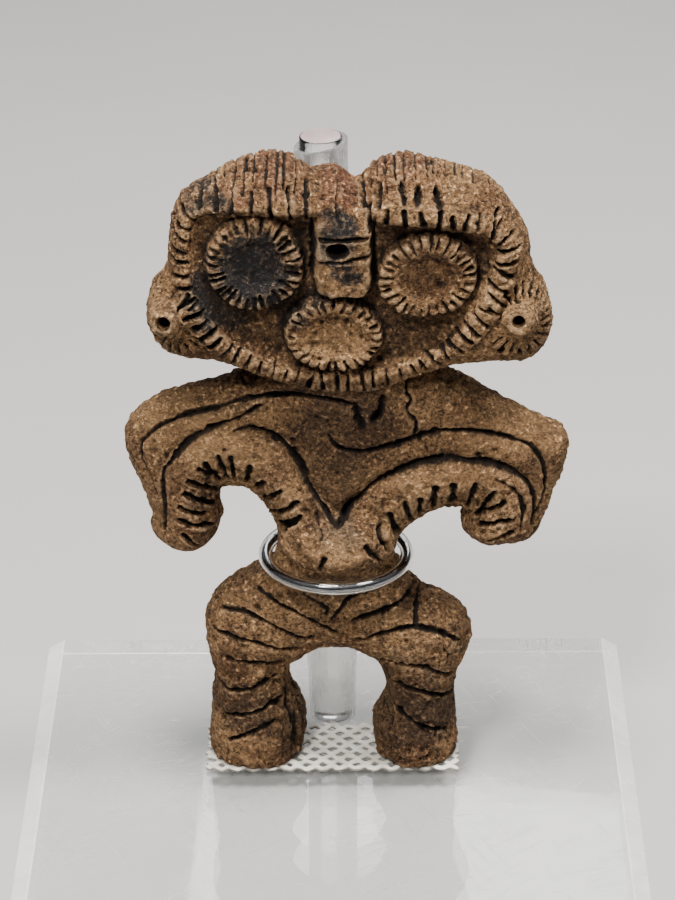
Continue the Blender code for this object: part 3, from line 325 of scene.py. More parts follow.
class NoiseField:
    """Smooth seeded noise in space, from about -1 to 1."""

    SIDE = 32

    def __init__(self, seed: int) -> None:
        """Draws the lattice values and one turn for each octave."""
        rng = np.random.default_rng(seed)
        self.values = rng.uniform(-1, 1, (self.SIDE,) * 3)
        self.turns = [np.linalg.qr(rng.normal(size=(3, 3)))[0] for _ in range(4)]

    def at(self, points: Array, size: float, turn: int | None = 0) -> Array:
        """One octave.

        Args:
            points: Where to read it.
            size: Distance over which it changes.
            turn: Which turned lattice to read, or None for the straight one.

        Returns:
            A value for each point.
        """
        spot = points / size + 517.3
        if turn is not None:
            spot = spot @ self.turns[turn % len(self.turns)]
        base = np.floor(spot).astype(int)
        share = spot - base
        share = share * share * (3 - 2 * share)
        total = np.zeros(len(points))
        for corner in np.ndindex(2, 2, 2):
            weight = np.prod(np.where(corner, share, 1 - share), axis=1)
            cell = (base + corner) % self.SIDE
            total += weight * self.values[cell[:, 0], cell[:, 1], cell[:, 2]]
        return total


# Mesh tools

def mesh_object(name: str, mesh: bpy.types.Mesh) -> bpy.types.Object:
    """A mesh as an object in the scene."""
    obj = bpy.data.objects.new(name, mesh)
    bpy.context.scene.collection.objects.link(obj)
    return obj


def baked(obj: bpy.types.Object) -> bpy.types.Object:
    """The object turned into a plain mesh object with its modifiers and its place applied."""
    name = obj.name
    bpy.context.view_layer.update()
    graph = bpy.context.evaluated_depsgraph_get()
    mesh = bpy.data.meshes.new_from_object(obj.evaluated_get(graph))
    mesh.transform(obj.matrix_world)
    shape = bmesh.new()
    shape.from_mesh(mesh)
    bmesh.ops.remove_doubles(shape, verts=shape.verts, dist=WELD_GAP)
    bmesh.ops.recalc_face_normals(shape, faces=shape.faces)
    shape.to_mesh(mesh)
    shape.free()
    bpy.data.objects.remove(obj)
    mesh.name = name
    return mesh_object(name, mesh)


def points_of(mesh: bpy.types.Mesh) -> Array:
    """The mesh's vertices as an array."""
    flat = np.empty(len(mesh.vertices) * 3, np.float32)
    mesh.vertices.foreach_get("co", flat)
    return flat.reshape(-1, 3).astype(float)


def normals_of(mesh: bpy.types.Mesh) -> Array:
    """The mesh's vertex normals as an array."""
    flat = np.empty(len(mesh.vertices) * 3, np.float32)
    mesh.vertex_normals.foreach_get("vector", flat)
    return flat.reshape(-1, 3).astype(float)


def set_points(mesh: bpy.types.Mesh, points: Array) -> None:
    """Moves the mesh's vertices."""
    mesh.vertices.foreach_set("co", points.astype(np.float32).ravel())
    mesh.update()


def set_mask(mesh: bpy.types.Mesh, name: str, values: Array) -> None:
    """Stores one value for each vertex, for a material to read."""
    layer = mesh.attributes.new(name, "FLOAT", "POINT")
    layer.data.foreach_set("value", values.astype(np.float32))


def shaded_smooth(mesh: bpy.types.Mesh) -> None:
    """Shades every face of the mesh smooth."""
    mesh.polygons.foreach_set("use_smooth", [True] * len(mesh.polygons))
    mesh.update()


def remeshed(obj: bpy.types.Object, voxel: float, smoothing: int = 0) -> bpy.types.Object:
    """The object's closed shells made one, with an even mesh.

    Args:
        obj: The object, which is used up.
        voxel: Size of the even mesh.
        smoothing: Passes of smoothing.

    Returns:
        The new object.
    """
    remesh = obj.modifiers.new("even_mesh", "REMESH")
    remesh.mode = "VOXEL"
    remesh.voxel_size = voxel
    if smoothing:
        smooth = obj.modifiers.new("blend", "SMOOTH")
        smooth.factor = 0.5
        smooth.iterations = smoothing
    return baked(obj)


def mesh_from(shape: bmesh.types.BMesh, name: str) -> bpy.types.Mesh:
    """The worked shape as a mesh, with the shape let go."""
    mesh = bpy.data.meshes.new(name)
    shape.to_mesh(mesh)
    shape.free()
    return mesh


def joined(objects: Sequence[bpy.types.Object], name: str) -> bpy.types.Object:
    """Several closed shells in one object."""
    shape = bmesh.new()
    for obj in objects:
        shape.from_mesh(obj.data)
    mesh = mesh_from(shape, name)
    for obj in objects:
        bpy.data.objects.remove(obj)
    return mesh_object(name, mesh)


def cone(name: str, foot: Point, direction: Point, length: float, foot_radius: float, tip_radius: float,
         sides: int) -> bpy.types.Object:
    """A closed cone or cylinder.

    Args:
        name: The object's name.
        foot: Middle of its foot.
        direction: Where it points.
        length: From foot to tip.
        foot_radius: Radius at the foot.
        tip_radius: Radius at the tip.
        sides: Sides of its section.

    Returns:
        The object.
    """
    shape = bmesh.new()
    bmesh.ops.create_cone(
        shape, cap_ends=True, segments=sides, radius1=foot_radius, radius2=tip_radius, depth=length
    )
    mesh = mesh_from(shape, name)
    turn = Vector(direction).to_track_quat("Z", "Y").to_matrix().to_4x4()
    mesh.transform(Matrix.Translation(foot) @ turn @ Matrix.Translation((0, 0, length / 2)))
    return mesh_object(name, mesh)


def tube_mesh(name: str, centres: Array, ups: Array, radii: Array, sides: int,
              closed: bool) -> bpy.types.Mesh:
    """A tube along a path.

    Args:
        name: The mesh's name.
        centres: Points along the path.
        ups: One direction across the path at each point, which the section starts from.
        radii: (half across the up direction, half along it) at each point.
        sides: Sides of the section.
        closed: Whether the path returns to its start.

    Returns:
        The mesh, with flat caps where the path is open.
    """
    count = len(centres)
    ahead = np.roll(centres, -1, axis=0) - np.roll(centres, 1, axis=0)
    if not closed:
        ahead[0], ahead[-1] = centres[1] - centres[0], centres[-1] - centres[-2]
    ahead /= np.linalg.norm(ahead, axis=1)[:, None]
    across = np.cross(ahead, ups)
    across /= np.linalg.norm(across, axis=1)[:, None]
    over = np.cross(across, ahead)
    shape = bmesh.new()
    rings = []
    for k in range(count):
        ring = []
        for angle in np.arange(sides) * 2 * math.pi / sides:
            aside = across[k] * radii[k, 0] * math.cos(angle)
            ring.append(shape.verts.new(centres[k] + aside + over[k] * radii[k, 1] * math.sin(angle)))
        rings.append(ring)
    for k in range(count if closed else count - 1):
        a, b = rings[k], rings[(k + 1) % count]
        for s in range(sides):
            t = (s + 1) % sides
            shape.faces.new((a[s], a[t], b[t], b[s]))
    if not closed:
        shape.faces.new(rings[0])
        shape.faces.new(rings[-1])
    bmesh.ops.recalc_face_normals(shape, faces=shape.faces)
    return mesh_from(shape, name)


def lathe_mesh(name: str, profile: Sequence[Place], sides: int) -> bpy.types.Mesh:
    """A closed profile turned round the z axis.

    Args:
        name: The mesh's name.
        profile: Its (radius, z) corners.
        sides: Steps in a full turn.

    Returns:
        The mesh.
    """
    shape = bmesh.new()
    ring = [shape.verts.new((x, 0, z)) for x, z in profile]
    edges = [shape.edges.new((ring[i], ring[(i + 1) % len(ring)])) for i in range(len(ring))]
    bmesh.ops.spin(
        shape, geom=ring + edges, cent=(0, 0, 0), axis=(0, 0, 1), angle=2 * math.pi, steps=sides,
        use_merge=True,
    )
    bmesh.ops.remove_doubles(shape, verts=shape.verts, dist=WELD_GAP)
    bmesh.ops.recalc_face_normals(shape, faces=shape.faces)
    return mesh_from(shape, name)


def rounded_edges(obj: bpy.types.Object, width: float, segments: int,
                  angle_deg: float = 20.0) -> bpy.types.Object:
    """The object with its sharp edges rounded.

    Args:
        obj: The object, which is used up.
        width: Width of the rounding.
        segments: Faces across it.
        angle_deg: The least turn between faces that is rounded.

    Returns:
        The new object.
    """
    bevel = obj.modifiers.new("rounded", "BEVEL")
    bevel.width = width
    bevel.segments = segments
    bevel.limit_method = "ANGLE"
    bevel.angle_limit = math.radians(angle_deg)
    return baked(obj)


def place_piece(obj: bpy.types.Object, nodes: Sequence[str], material: bpy.types.Material) -> None:
    """Dresses a finished piece and ties it to the frame.

    Args:
        obj: The piece.
        nodes: The CAD nodes that it stands for.
        material: Its finish.
    """
    obj.data.materials.clear()
    obj.data.materials.append(material)
    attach(obj, BODY)
    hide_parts(*nodes)


def let_light_through(obj: bpy.types.Object) -> None:
    """Keeps a clear piece from shading, or doubling, the light on what lies under it."""
    obj.visible_shadow = False
    obj.visible_diffuse = False


# Shader tools

def set_sockets(tree: bpy.types.NodeTree, node: Any, sockets: dict[Any, Any]) -> None:
    """Sets or links a node's inputs.

    Args:
        tree: The tree it is in.
        node: The node.
        sockets: Input name or number to a value, or to the output that feeds it.
    """
    for key, value in sockets.items():
        if isinstance(value, bpy.types.NodeSocket):
            tree.links.new(value, node.inputs[key])
        else:
            node.inputs[key].default_value = value


def add_node(tree: bpy.types.NodeTree, kind: str, sockets: dict[Any, Any] | None = None,
             **settings: Any) -> Any:
    """Adds a node, with its settings, and its sockets set or linked.

    Args:
        tree: The tree it goes in.
        kind: Its type.
        sockets: What set_sockets takes.
        **settings: The node's own properties.

    Returns:
        The node.
    """
    node = tree.nodes.new(kind)
    for name, value in settings.items():
        setattr(node, name, value)
    set_sockets(tree, node, sockets or {})
    return node


def calc(tree: bpy.types.NodeTree, operation: str, *values: Any) -> Any:
    """The output of a Math node."""
    return add_node(tree, "ShaderNodeMath", dict(enumerate(values)), operation=operation).outputs[0]


def vector_calc(tree: bpy.types.NodeTree, operation: str, sockets: dict[Any, Any]) -> Any:
    """The output of a Vector Math node."""
    return add_node(tree, "ShaderNodeVectorMath", sockets, operation=operation).outputs[0]


def stepped(tree: bpy.types.NodeTree, value: Any, low: float, high: float, start: float = 0.0,
            end: float = 1.0) -> Any:
    """A value mapped smoothly from low to high onto start to end."""
    node = add_node(
        tree, "ShaderNodeMapRange",
        {"Value": value, "From Min": low, "From Max": high, "To Min": start, "To Max": end},
        interpolation_type="SMOOTHSTEP",
    )
    return node.outputs[0]


def mixed(tree: bpy.types.NodeTree, share: Any, first: Any, second: Any) -> Any:
    """The colour output of a Mix node, whose sockets for colours are only told apart by number."""
    return add_node(tree, "ShaderNodeMix", {0: share, 6: first, 7: second}, data_type="RGBA").outputs[2]


def noise(tree: bpy.types.NodeTree, where: Any, scale: Any, detail: float = 3.0,
          roughness: float = 0.6) -> Any:
    """The value output of a Noise node."""
    sockets = {"Vector": where, "Scale": scale, "Detail": detail, "Roughness": roughness}
    return add_node(tree, "ShaderNodeTexNoise", sockets).outputs[0]


class Effect(Enum):
    """The shader groups that more than one finish uses."""

    MOTTLE = "soft_mottle"
    GRIT = "fine_grit"
    SCRATCHES = "hair_scratches"
    # Painted shade in hollows and a painted highlight along raised edges.
    SHADE_AND_HIGHLIGHT = "hollow_and_edge_tone"


class EffectLibrary:
    """Builds each shared shader group once, and places it in materials."""

    SOCKETS = {
        Effect.MOTTLE: (
            [("Vector", "Vector"), ("Size", "Float"), ("Pale", "Color"), ("Deep", "Color")],
            [("Color", "Color")],
        ),
        Effect.GRIT: (
            [("Vector", "Vector"), ("Size", "Float")],
            [("Height", "Float"), ("Dark", "Float"), ("Pale", "Float")],
        ),
        Effect.SCRATCHES: (
            [("Vector", "Vector"), ("Size", "Float"), ("Amount", "Float")],
            [("Mask", "Float"), ("Height", "Float")],
        ),
        Effect.SHADE_AND_HIGHLIGHT: (
            [("Color", "Color"), ("Hollow", "Float"), ("Deep", "Color"), ("Highlight", "Color"),
             ("Vector", "Vector")],
            [("Color", "Color")],
        ),
    }
    PIT_SWAY = 0.0021
    SCRATCH_TURNS_AND_STRETCHES = ((11.0, 62.0), (-63.0, 74.0), (38.0, 55.0))
    HOLLOW_SPECKLE_SCALE = 900.0

    def __init__(self) -> None:
        """Builds every group."""
        self.trees = {effect: self._new_tree(effect) for effect in Effect}
        self._build_mottle(self.trees[Effect.MOTTLE])
        self._build_grit(self.trees[Effect.GRIT])
        self._build_scratches(self.trees[Effect.SCRATCHES])
        self._build_shade_and_highlight(self.trees[Effect.SHADE_AND_HIGHLIGHT])

    def place(self, tree: bpy.types.NodeTree, effect: Effect, sockets: dict[str, Any]) -> Any:
        """Places a group in a material.

        Args:
            tree: The material's tree.
            effect: Which group.
            sockets: Its input values or links.

        Returns:
            The group node.
        """
        return add_node(tree, "ShaderNodeGroup", sockets, node_tree=self.trees[effect])

    def mottled(self, tree: bpy.types.NodeTree, where: Any, size: float, pale: Colour, deep: Colour) -> Any:
        """The colour of a mottle placed in a material."""
        sockets = {"Vector": where, "Size": size, "Pale": pale, "Deep": deep}
        return self.place(tree, Effect.MOTTLE, sockets).outputs["Color"]

    def _new_tree(self, effect: Effect) -> bpy.types.NodeTree:
        """An empty group with its sockets."""
        tree = bpy.data.node_groups.new(effect.value, "ShaderNodeTree")
        takes, gives = self.SOCKETS[effect]
        for name, kind in takes:
            tree.interface.new_socket(name, in_out="INPUT", socket_type=f"NodeSocket{kind}")
        for name, kind in gives:
            tree.interface.new_socket(name, in_out="OUTPUT", socket_type=f"NodeSocket{kind}")
        return tree

    @staticmethod
    def _ends(tree: bpy.types.NodeTree) -> tuple[Any, Any]:
        """The group's input outputs and its output node's inputs."""
        return tree.nodes.new("NodeGroupInput").outputs, tree.nodes.new("NodeGroupOutput").inputs

    def _build_mottle(self, tree: bpy.types.NodeTree) -> None:
        """Two colours in soft cloudy patches with finer ones inside."""
        takes, gives = self._ends(tree)
        fine = calc(tree, "MULTIPLY", takes["Size"], 4.3)
        broad = noise(tree, takes["Vector"], takes["Size"], 2.0, 0.5)
        small = noise(tree, takes["Vector"], fine, 3.0, 0.65)
        both = calc(tree, "ADD", calc(tree, "MULTIPLY", broad, 0.62), calc(tree, "MULTIPLY", small, 0.38))
        share = stepped(tree, both, 0.36, 0.64)
        tree.links.new(mixed(tree, share, takes["Deep"], takes["Pale"]), gives["Color"])

    def _build_grit(self, tree: bpy.types.NodeTree) -> None:
        """Sandy grain: its height, painted shade in its ragged pits, fine streaks and low grain, and its pale
        grains with a painted highlight on the raised grain.
        """
        takes, gives = self._ends(tree)
        size = takes["Size"]
        sway = add_node(
            tree, "ShaderNodeTexNoise",
            {"Vector": takes["Vector"], "Scale": calc(tree, "MULTIPLY", size, 0.7), "Detail": 2.0},
        ).outputs["Color"]
        aside = vector_calc(tree, "SUBTRACT", {0: sway, 1: (0.5, 0.5, 0.5)})
        aside = vector_calc(tree, "SCALE", {0: aside, "Scale": self.PIT_SWAY})
        torn = vector_calc(tree, "ADD", {0: takes["Vector"], 1: aside})
        grain = noise(tree, takes["Vector"], size, 4.0, 0.74)
        cells = add_node(tree, "ShaderNodeTexVoronoi", {"Vector": torn, "Scale": size}, feature="F1")
        wide = add_node(
            tree, "ShaderNodeTexVoronoi",
            {"Vector": torn, "Scale": calc(tree, "MULTIPLY", size, 0.42)}, feature="F1",
        )
        drawn = add_node(
            tree, "ShaderNodeMapping",
            {"Vector": torn, "Rotation": (0.0, math.radians(24.0), 0.0), "Scale": (0.62, 1.0, 1.25)},
        ).outputs[0]
        ridge = calc(tree, "ABSOLUTE", calc(
            tree, "SUBTRACT", noise(tree, drawn, calc(tree, "MULTIPLY", size, 0.34), 2.0, 0.5), 0.5,
        ))
        streak = calc(
            tree, "MULTIPLY", stepped(tree, ridge, 0.036, 0.008),
            stepped(tree, noise(tree, takes["Vector"], calc(tree, "MULTIPLY", size, 0.2), 2.0), 0.48, 0.58),
        )
        chosen = add_node(tree, "ShaderNodeSeparateColor", {0: cells.outputs["Color"]}).outputs
        picked = add_node(tree, "ShaderNodeSeparateColor", {0: wide.outputs["Color"]}).outputs
        core = stepped(tree, cells.outputs["Distance"], 0.34, 0.14)
        hole = calc(tree, "MULTIPLY", stepped(tree, wide.outputs["Distance"], 0.30, 0.12),
                    stepped(tree, picked[0], 0.80, 0.84))
        pit = calc(tree, "MAXIMUM", calc(tree, "MULTIPLY", core, stepped(tree, chosen[0], 0.72, 0.76)), hole)
        pale = calc(tree, "MULTIPLY", core, stepped(tree, chosen[1], 0.93, 0.95))
        crumb = stepped(tree, grain, 0.36, 0.62)
        low = calc(tree, "MAXIMUM", pit, streak)
        rough = calc(tree, "SUBTRACT", crumb, calc(tree, "MULTIPLY", low, 0.55))
        tree.links.new(calc(tree, "ADD", rough, calc(tree, "MULTIPLY", pale, 0.12)), gives["Height"])
        # Painted shade: the pits, the streaks and the low grain are darkened.
        dark = calc(tree, "MAXIMUM", calc(tree, "MULTIPLY", low, 0.9), stepped(tree, grain, 0.50, 0.37))
        tree.links.new(dark, gives["Dark"])
        # Pale grains of sand, with a painted highlight on the raised grain.
        tree.links.new(calc(tree, "MAXIMUM", pale, stepped(tree, grain, 0.52, 0.66)), gives["Pale"])

    def _build_scratches(self, tree: bpy.types.NodeTree) -> None:
        """Hair scratches in three directions, broken off here and there."""
        takes, gives = self._ends(tree)
        total: Any = 0.0
        for turn_deg, stretch in self.SCRATCH_TURNS_AND_STRETCHES:
            turned = add_node(
                tree, "ShaderNodeMapping",
                {"Vector": takes["Vector"], "Rotation": (0.0, 0.0, math.radians(turn_deg)),
                 "Scale": (1.0, 1.0 / stretch, 1.0)},
                vector_type="TEXTURE",
            )
            lines = noise(tree, turned.outputs[0], takes["Size"], 1.0, 0.4)
            line = stepped(tree, lines, 0.70, 0.725)
            total = calc(tree, "MAXIMUM", total, line)
        finer = calc(tree, "MULTIPLY", takes["Size"], 1.7)
        broken = stepped(tree, noise(tree, takes["Vector"], finer, 2.0), 0.46, 0.60)
        mask = calc(tree, "MULTIPLY", calc(tree, "MULTIPLY", total, broken), takes["Amount"])
        tree.links.new(mask, gives["Mask"])
        tree.links.new(calc(tree, "MULTIPLY", mask, -1.0), gives["Height"])

    def _build_shade_and_highlight(self, tree: bpy.types.NodeTree) -> None:
        """Darkens a colour in its hollows, a painted shade, and pales it along its raised edges, a painted
        highlight.
        """
        takes, gives = self._ends(tree)
        speckle = calc(tree, "SUBTRACT", noise(tree, takes["Vector"], self.HOLLOW_SPECKLE_SCALE, 3.0), 0.5)
        level = calc(tree, "ADD", takes["Hollow"], calc(tree, "MULTIPLY", speckle, 0.5))
        deep = mixed(tree, stepped(tree, level, 0.16, 1.0, 0.0, 0.85), takes["Color"], takes["Deep"])
        painted_highlight = mixed(tree, stepped(tree, level, -0.2, -1.1, 0.0, 0.5), deep, takes["Highlight"])
        tree.links.new(painted_highlight, gives["Color"])


def new_material(name: str) -> tuple[bpy.types.Material, bpy.types.NodeTree, Any]:
    """A material with its tree and its Principled shader."""
    material = bpy.data.materials.new(name)
    material.use_nodes = True
    tree = material.node_tree
    return material, tree, tree.nodes["Principled BSDF"]


def set_bump(tree: bpy.types.NodeTree, shader: Any, height: Any, strength: float, distance: float) -> None:
    """Feeds a height through a Bump node to the shader's normal."""
    bump = add_node(tree, "ShaderNodeBump", {"Height": height, "Strength": strength, "Distance": distance})
    tree.links.new(bump.outputs[0], shader.inputs["Normal"])


def own_coordinates(tree: bpy.types.NodeTree) -> Any:
    """The object's own coordinates, in metres."""
    return tree.nodes.new("ShaderNodeTexCoord").outputs["Object"]


def mask_of(tree: bpy.types.NodeTree, name: str) -> Any:
    """A value stored on the mesh."""
    return add_node(tree, "ShaderNodeAttribute", attribute_name=name).outputs["Fac"]


@dataclass(frozen=True)
class FiredClay:
    """Gritty unglazed clay, brown to tan, with soot, red slip and ash where the masks say, and painted shade
    and painted light where they say.
    """

    pale: Colour = (0.47, 0.265, 0.118, 1.0)
    deep: Colour = (0.190, 0.090, 0.036, 1.0)
    # Painted light on raised tops facing the lamps: shoulders, coils, belly, mouth disc and outer arms.
    painted_light_tone: Colour = (0.56, 0.325, 0.150, 1.0)
    # Near-black painted shade in hollows, pits, grooves and the spool holes.
    hollow: Colour = (0.012, 0.007, 0.005, 1.0)
    # Painted shade on the face's dish, the chest under the chin, beneath the belly and on the legs.
    shade: Colour = (0.060, 0.030, 0.014, 1.0)
    # Painted highlight on raised edges and raised grain; it also colours the pale grains.
    painted_highlight: Colour = (0.70, 0.46, 0.255, 1.0)
    soot: Colour = (0.012, 0.015, 0.021, 1.0)
    slip: Colour = (0.23, 0.070, 0.038, 1.0)
    ash: Colour = (0.165, 0.135, 0.095, 1.0)
    grain_scale: float = 1050.0
    mottle_scale: float = 62.0
    painted_light_share: float = 0.75
    roughness: float = 0.93
    soot_polish: float = 0.22
    specular: float = 0.28
    lump_scale: float = 420.0
    lump_share: float = 1.4
    bump: float = 0.0014

    @staticmethod
    def _frayed(tree: bpy.types.NodeTree, where: Any, mask: str, scale: float, share: float) -> Any:
        """A mask stored on the mesh, with noise added so that its edge frays."""
        speckle = calc(tree, "MULTIPLY", noise(tree, where, scale, 4.0, 0.7), share)
        return calc(tree, "ADD", mask_of(tree, mask), speckle)

    def material(self, effects: EffectLibrary) -> bpy.types.Material:
        """Builds the material."""
        made, tree, shader = new_material("fired_clay")
        where = own_coordinates(tree)
        colour = effects.mottled(tree, where, self.mottle_scale, self.pale, self.deep)
        grit = effects.place(tree, Effect.GRIT, {"Vector": where, "Size": self.grain_scale})
        for name, tone, scale, most in (
            ("ochre", self.slip, 300.0, 0.55), ("ash", self.ash, 320.0, 0.6),
            ("soot", self.soot, 420.0, 0.96),
        ):
            patchy = self._frayed(tree, where, name, scale, 1.1)
            colour = mixed(tree, stepped(tree, patchy, 0.78, 1.22, 0.0, most), colour, tone)
        # Painted shade where the shade mask says.
        painted_shade_share = self._frayed(tree, where, "shade", 260.0, 0.8)
        colour = mixed(tree, stepped(tree, painted_shade_share, 0.5, 1.25, 0.0, 0.9), colour, self.shade)
        # Pale grains and their painted highlights are kept off the soot and the painted shade.
        soot_and_painted_shade = calc(tree, "MAXIMUM", mask_of(tree, "soot"), mask_of(tree, "shade"))
        kept = calc(tree, "SUBTRACT", 1.0, soot_and_painted_shade)
        pale_grains_and_glints = calc(tree, "MULTIPLY", grit.outputs["Pale"], stepped(tree, kept, 0.1, 0.9, 0.10, 0.32))
        # Painted light: the raised tops that face the lamps are paler, and their pits are darkened less.
        painted_light = mask_of(tree, "painted_light")
        colour = mixed(tree, calc(tree, "MULTIPLY", painted_light, self.painted_light_share), colour, self.painted_light_tone)
        # Painted shade in the pits, streaks and low grain.
        pit_shade = calc(tree, "MULTIPLY", grit.outputs["Dark"], stepped(tree, painted_light, 0.0, 1.0, 0.90, 0.58))
        colour = mixed(tree, pit_shade, colour, self.hollow)
        # Pale grains, with a painted highlight on the raised grain.
        colour = mixed(tree, pale_grains_and_glints, colour, self.painted_highlight)
        # Painted shade in the hollows and a painted highlight along the raised edges.
        shade_and_highlight = effects.place(tree, Effect.SHADE_AND_HIGHLIGHT, {
            "Color": colour, "Hollow": mask_of(tree, "hollow"), "Deep": self.hollow, "Highlight": self.painted_highlight,
            "Vector": where,
        })
        # Painted shade in the grooves, notches, cracks, scores and spool holes.
        groove_shade = stepped(tree, mask_of(tree, "groove"), 0.35, 0.9, 0.0, 0.92)
        polished = self.roughness - self.soot_polish
        set_sockets(tree, shader, {
            "Base Color": mixed(tree, groove_shade, shade_and_highlight.outputs[0], self.hollow),
            "Roughness": stepped(tree, mask_of(tree, "soot"), 0.3, 1.0, self.roughness, polished),
            "Specular IOR Level": self.specular,
        })
        lumps = calc(tree, "MULTIPLY", noise(tree, where, self.lump_scale, 3.0, 0.6), self.lump_share)
        set_bump(tree, shader, calc(tree, "ADD", grit.outputs["Height"], lumps), 1.0, self.bump)
        return made


@dataclass(frozen=True)
class ClearPlastic:
    """Clear acrylic or vinyl: transmission, hair scratches and a faint haze."""

    name: str
    tint: Colour
    haze: Colour
    index: float
    roughness: float
    clear_share: float
    scratch_scale: float
    scratch_amount: float
    ripple: float

    def material(self, effects: EffectLibrary) -> bpy.types.Material:
        """Builds the material."""
        made, tree, shader = new_material(self.name)
        where = own_coordinates(tree)
        cuts = effects.place(tree, Effect.SCRATCHES, {
            "Vector": where, "Size": self.scratch_scale, "Amount": self.scratch_amount,
        })
        cloud = effects.mottled(tree, where, 55.0, self.tint, self.haze)
        smears = noise(tree, where, 90.0, 4.0, 0.7)
        smudge = stepped(tree, smears, 0.4, 0.75, self.roughness, self.roughness + 0.07)
        set_sockets(tree, shader, {
            "Base Color": mixed(tree, cuts.outputs["Mask"], cloud, (1.0, 1.0, 1.0, 1.0)),
            "Roughness": calc(tree, "ADD", smudge, calc(tree, "MULTIPLY", cuts.outputs["Mask"], 0.45)),
            "IOR": self.index,
            "Transmission Weight": self.clear_share,
        })
        ripple = calc(tree, "MULTIPLY", noise(tree, where, 120.0, 2.0, 0.5), self.ripple)
        set_bump(tree, shader, calc(tree, "ADD", ripple, cuts.outputs["Height"]), 0.25, 0.00006)
        return made


@dataclass(frozen=True)
class PolishedSteel:
    """Bright steel wire with fine drawing marks."""

    base: Colour = (0.21, 0.21, 0.225, 1.0)
    dull: Colour = (0.10, 0.10, 0.11, 1.0)
    roughness: float = 0.06

    def material(self, effects: EffectLibrary) -> bpy.types.Material:
        """Builds the material."""
        made, tree, shader = new_material("polished_steel")
        where = own_coordinates(tree)
        cuts = effects.place(tree, Effect.SCRATCHES, {"Vector": where, "Size": 260.0, "Amount": 0.7})
        smears = noise(tree, where, 300.0, 3.0)
        smudge = stepped(tree, smears, 0.4, 0.7, self.roughness, self.roughness + 0.09)
        set_sockets(tree, shader, {
            "Base Color": effects.mottled(tree, where, 160.0, self.base, self.dull),
            "Roughness": calc(tree, "ADD", smudge, calc(tree, "MULTIPLY", cuts.outputs["Mask"], 0.2)),
            "Metallic": 1.0,
        })
        set_bump(tree, shader, cuts.outputs["Height"], 0.3, 0.00002)
        return made


@dataclass(frozen=True)
class WhiteKnit:
    """Soft creamy yarn with fine fibres, and painted shade low on the sides of its strands."""

    pale: Colour = (0.80, 0.775, 0.70, 1.0)
    deep: Colour = (0.58, 0.55, 0.475, 1.0)
    # Painted shade low on the sides of the strands.
    shade: Colour = (0.12, 0.105, 0.085, 1.0)
    fibre_scale: float = 5200.0
    roughness: float = 0.88
    sheen: float = 0.25

    def material(self, effects: EffectLibrary) -> bpy.types.Material:
        """Builds the material."""
        made, tree, shader = new_material("white_knit")
        where = own_coordinates(tree)
        shade_and_highlight = effects.place(tree, Effect.SHADE_AND_HIGHLIGHT, {
            "Color": effects.mottled(tree, where, 210.0, self.pale, self.deep),
            "Hollow": mask_of(tree, "hollow"), "Deep": self.shade, "Highlight": self.pale, "Vector": where,
        })
        drawn = add_node(tree, "ShaderNodeMapping", {"Vector": where, "Scale": (0.25, 1.0, 1.0)}).outputs[0]
        fibres = noise(tree, drawn, self.fibre_scale, 3.0, 0.7)
        set_sockets(tree, shader, {
            "Base Color": shade_and_highlight.outputs[0],
            "Roughness": stepped(tree, fibres, 0.3, 0.7, self.roughness, 1.0),
            "Sheen Weight": self.sheen,
        })
        set_bump(tree, shader, fibres, 0.8, 0.0001)
        return made


ACRYLIC = ClearPlastic(
    name="clear_acrylic", tint=(0.97, 0.985, 0.985, 1.0), haze=(0.94, 0.965, 0.965, 1.0), index=1.49,
    roughness=0.015, clear_share=1.0, scratch_scale=42.0, scratch_amount=0.8, ripple=0.10,
)
VINYL = ClearPlastic(
    name="clear_vinyl", tint=(0.97, 0.97, 0.965, 1.0), haze=(0.93, 0.93, 0.92, 1.0), index=1.46,
    roughness=0.13, clear_share=0.90, scratch_scale=130.0, scratch_amount=0.5, ripple=0.45,
)
CUT_EDGE = ClearPlastic(
    name="cut_acrylic_edge", tint=(0.97, 0.97, 0.965, 1.0), haze=(0.80, 0.795, 0.79, 1.0), index=1.49,
    roughness=0.12, clear_share=0.42, scratch_scale=90.0, scratch_amount=0.5, ripple=0.5,
)
# The rod's frosted sawn top; its pinkish brown tint is a painted reflection.
SAWN_END_PAINTED_REFLECTION = ClearPlastic(
    name="sawn_acrylic_painted_reflection", tint=(0.36, 0.285, 0.28, 1.0), haze=(0.28, 0.215, 0.21, 1.0), index=1.49,
    roughness=0.5, clear_share=0.2, scratch_scale=160.0, scratch_amount=0.5, ripple=0.6,
)
THIN_VINYL = ClearPlastic(
    name="clear_vinyl_tubing", tint=(0.98, 0.985, 0.98, 1.0), haze=(0.95, 0.955, 0.94, 1.0), index=1.46,
    roughness=0.02, clear_share=1.0, scratch_scale=130.0, scratch_amount=0.3, ripple=0.2,
)


# The figure

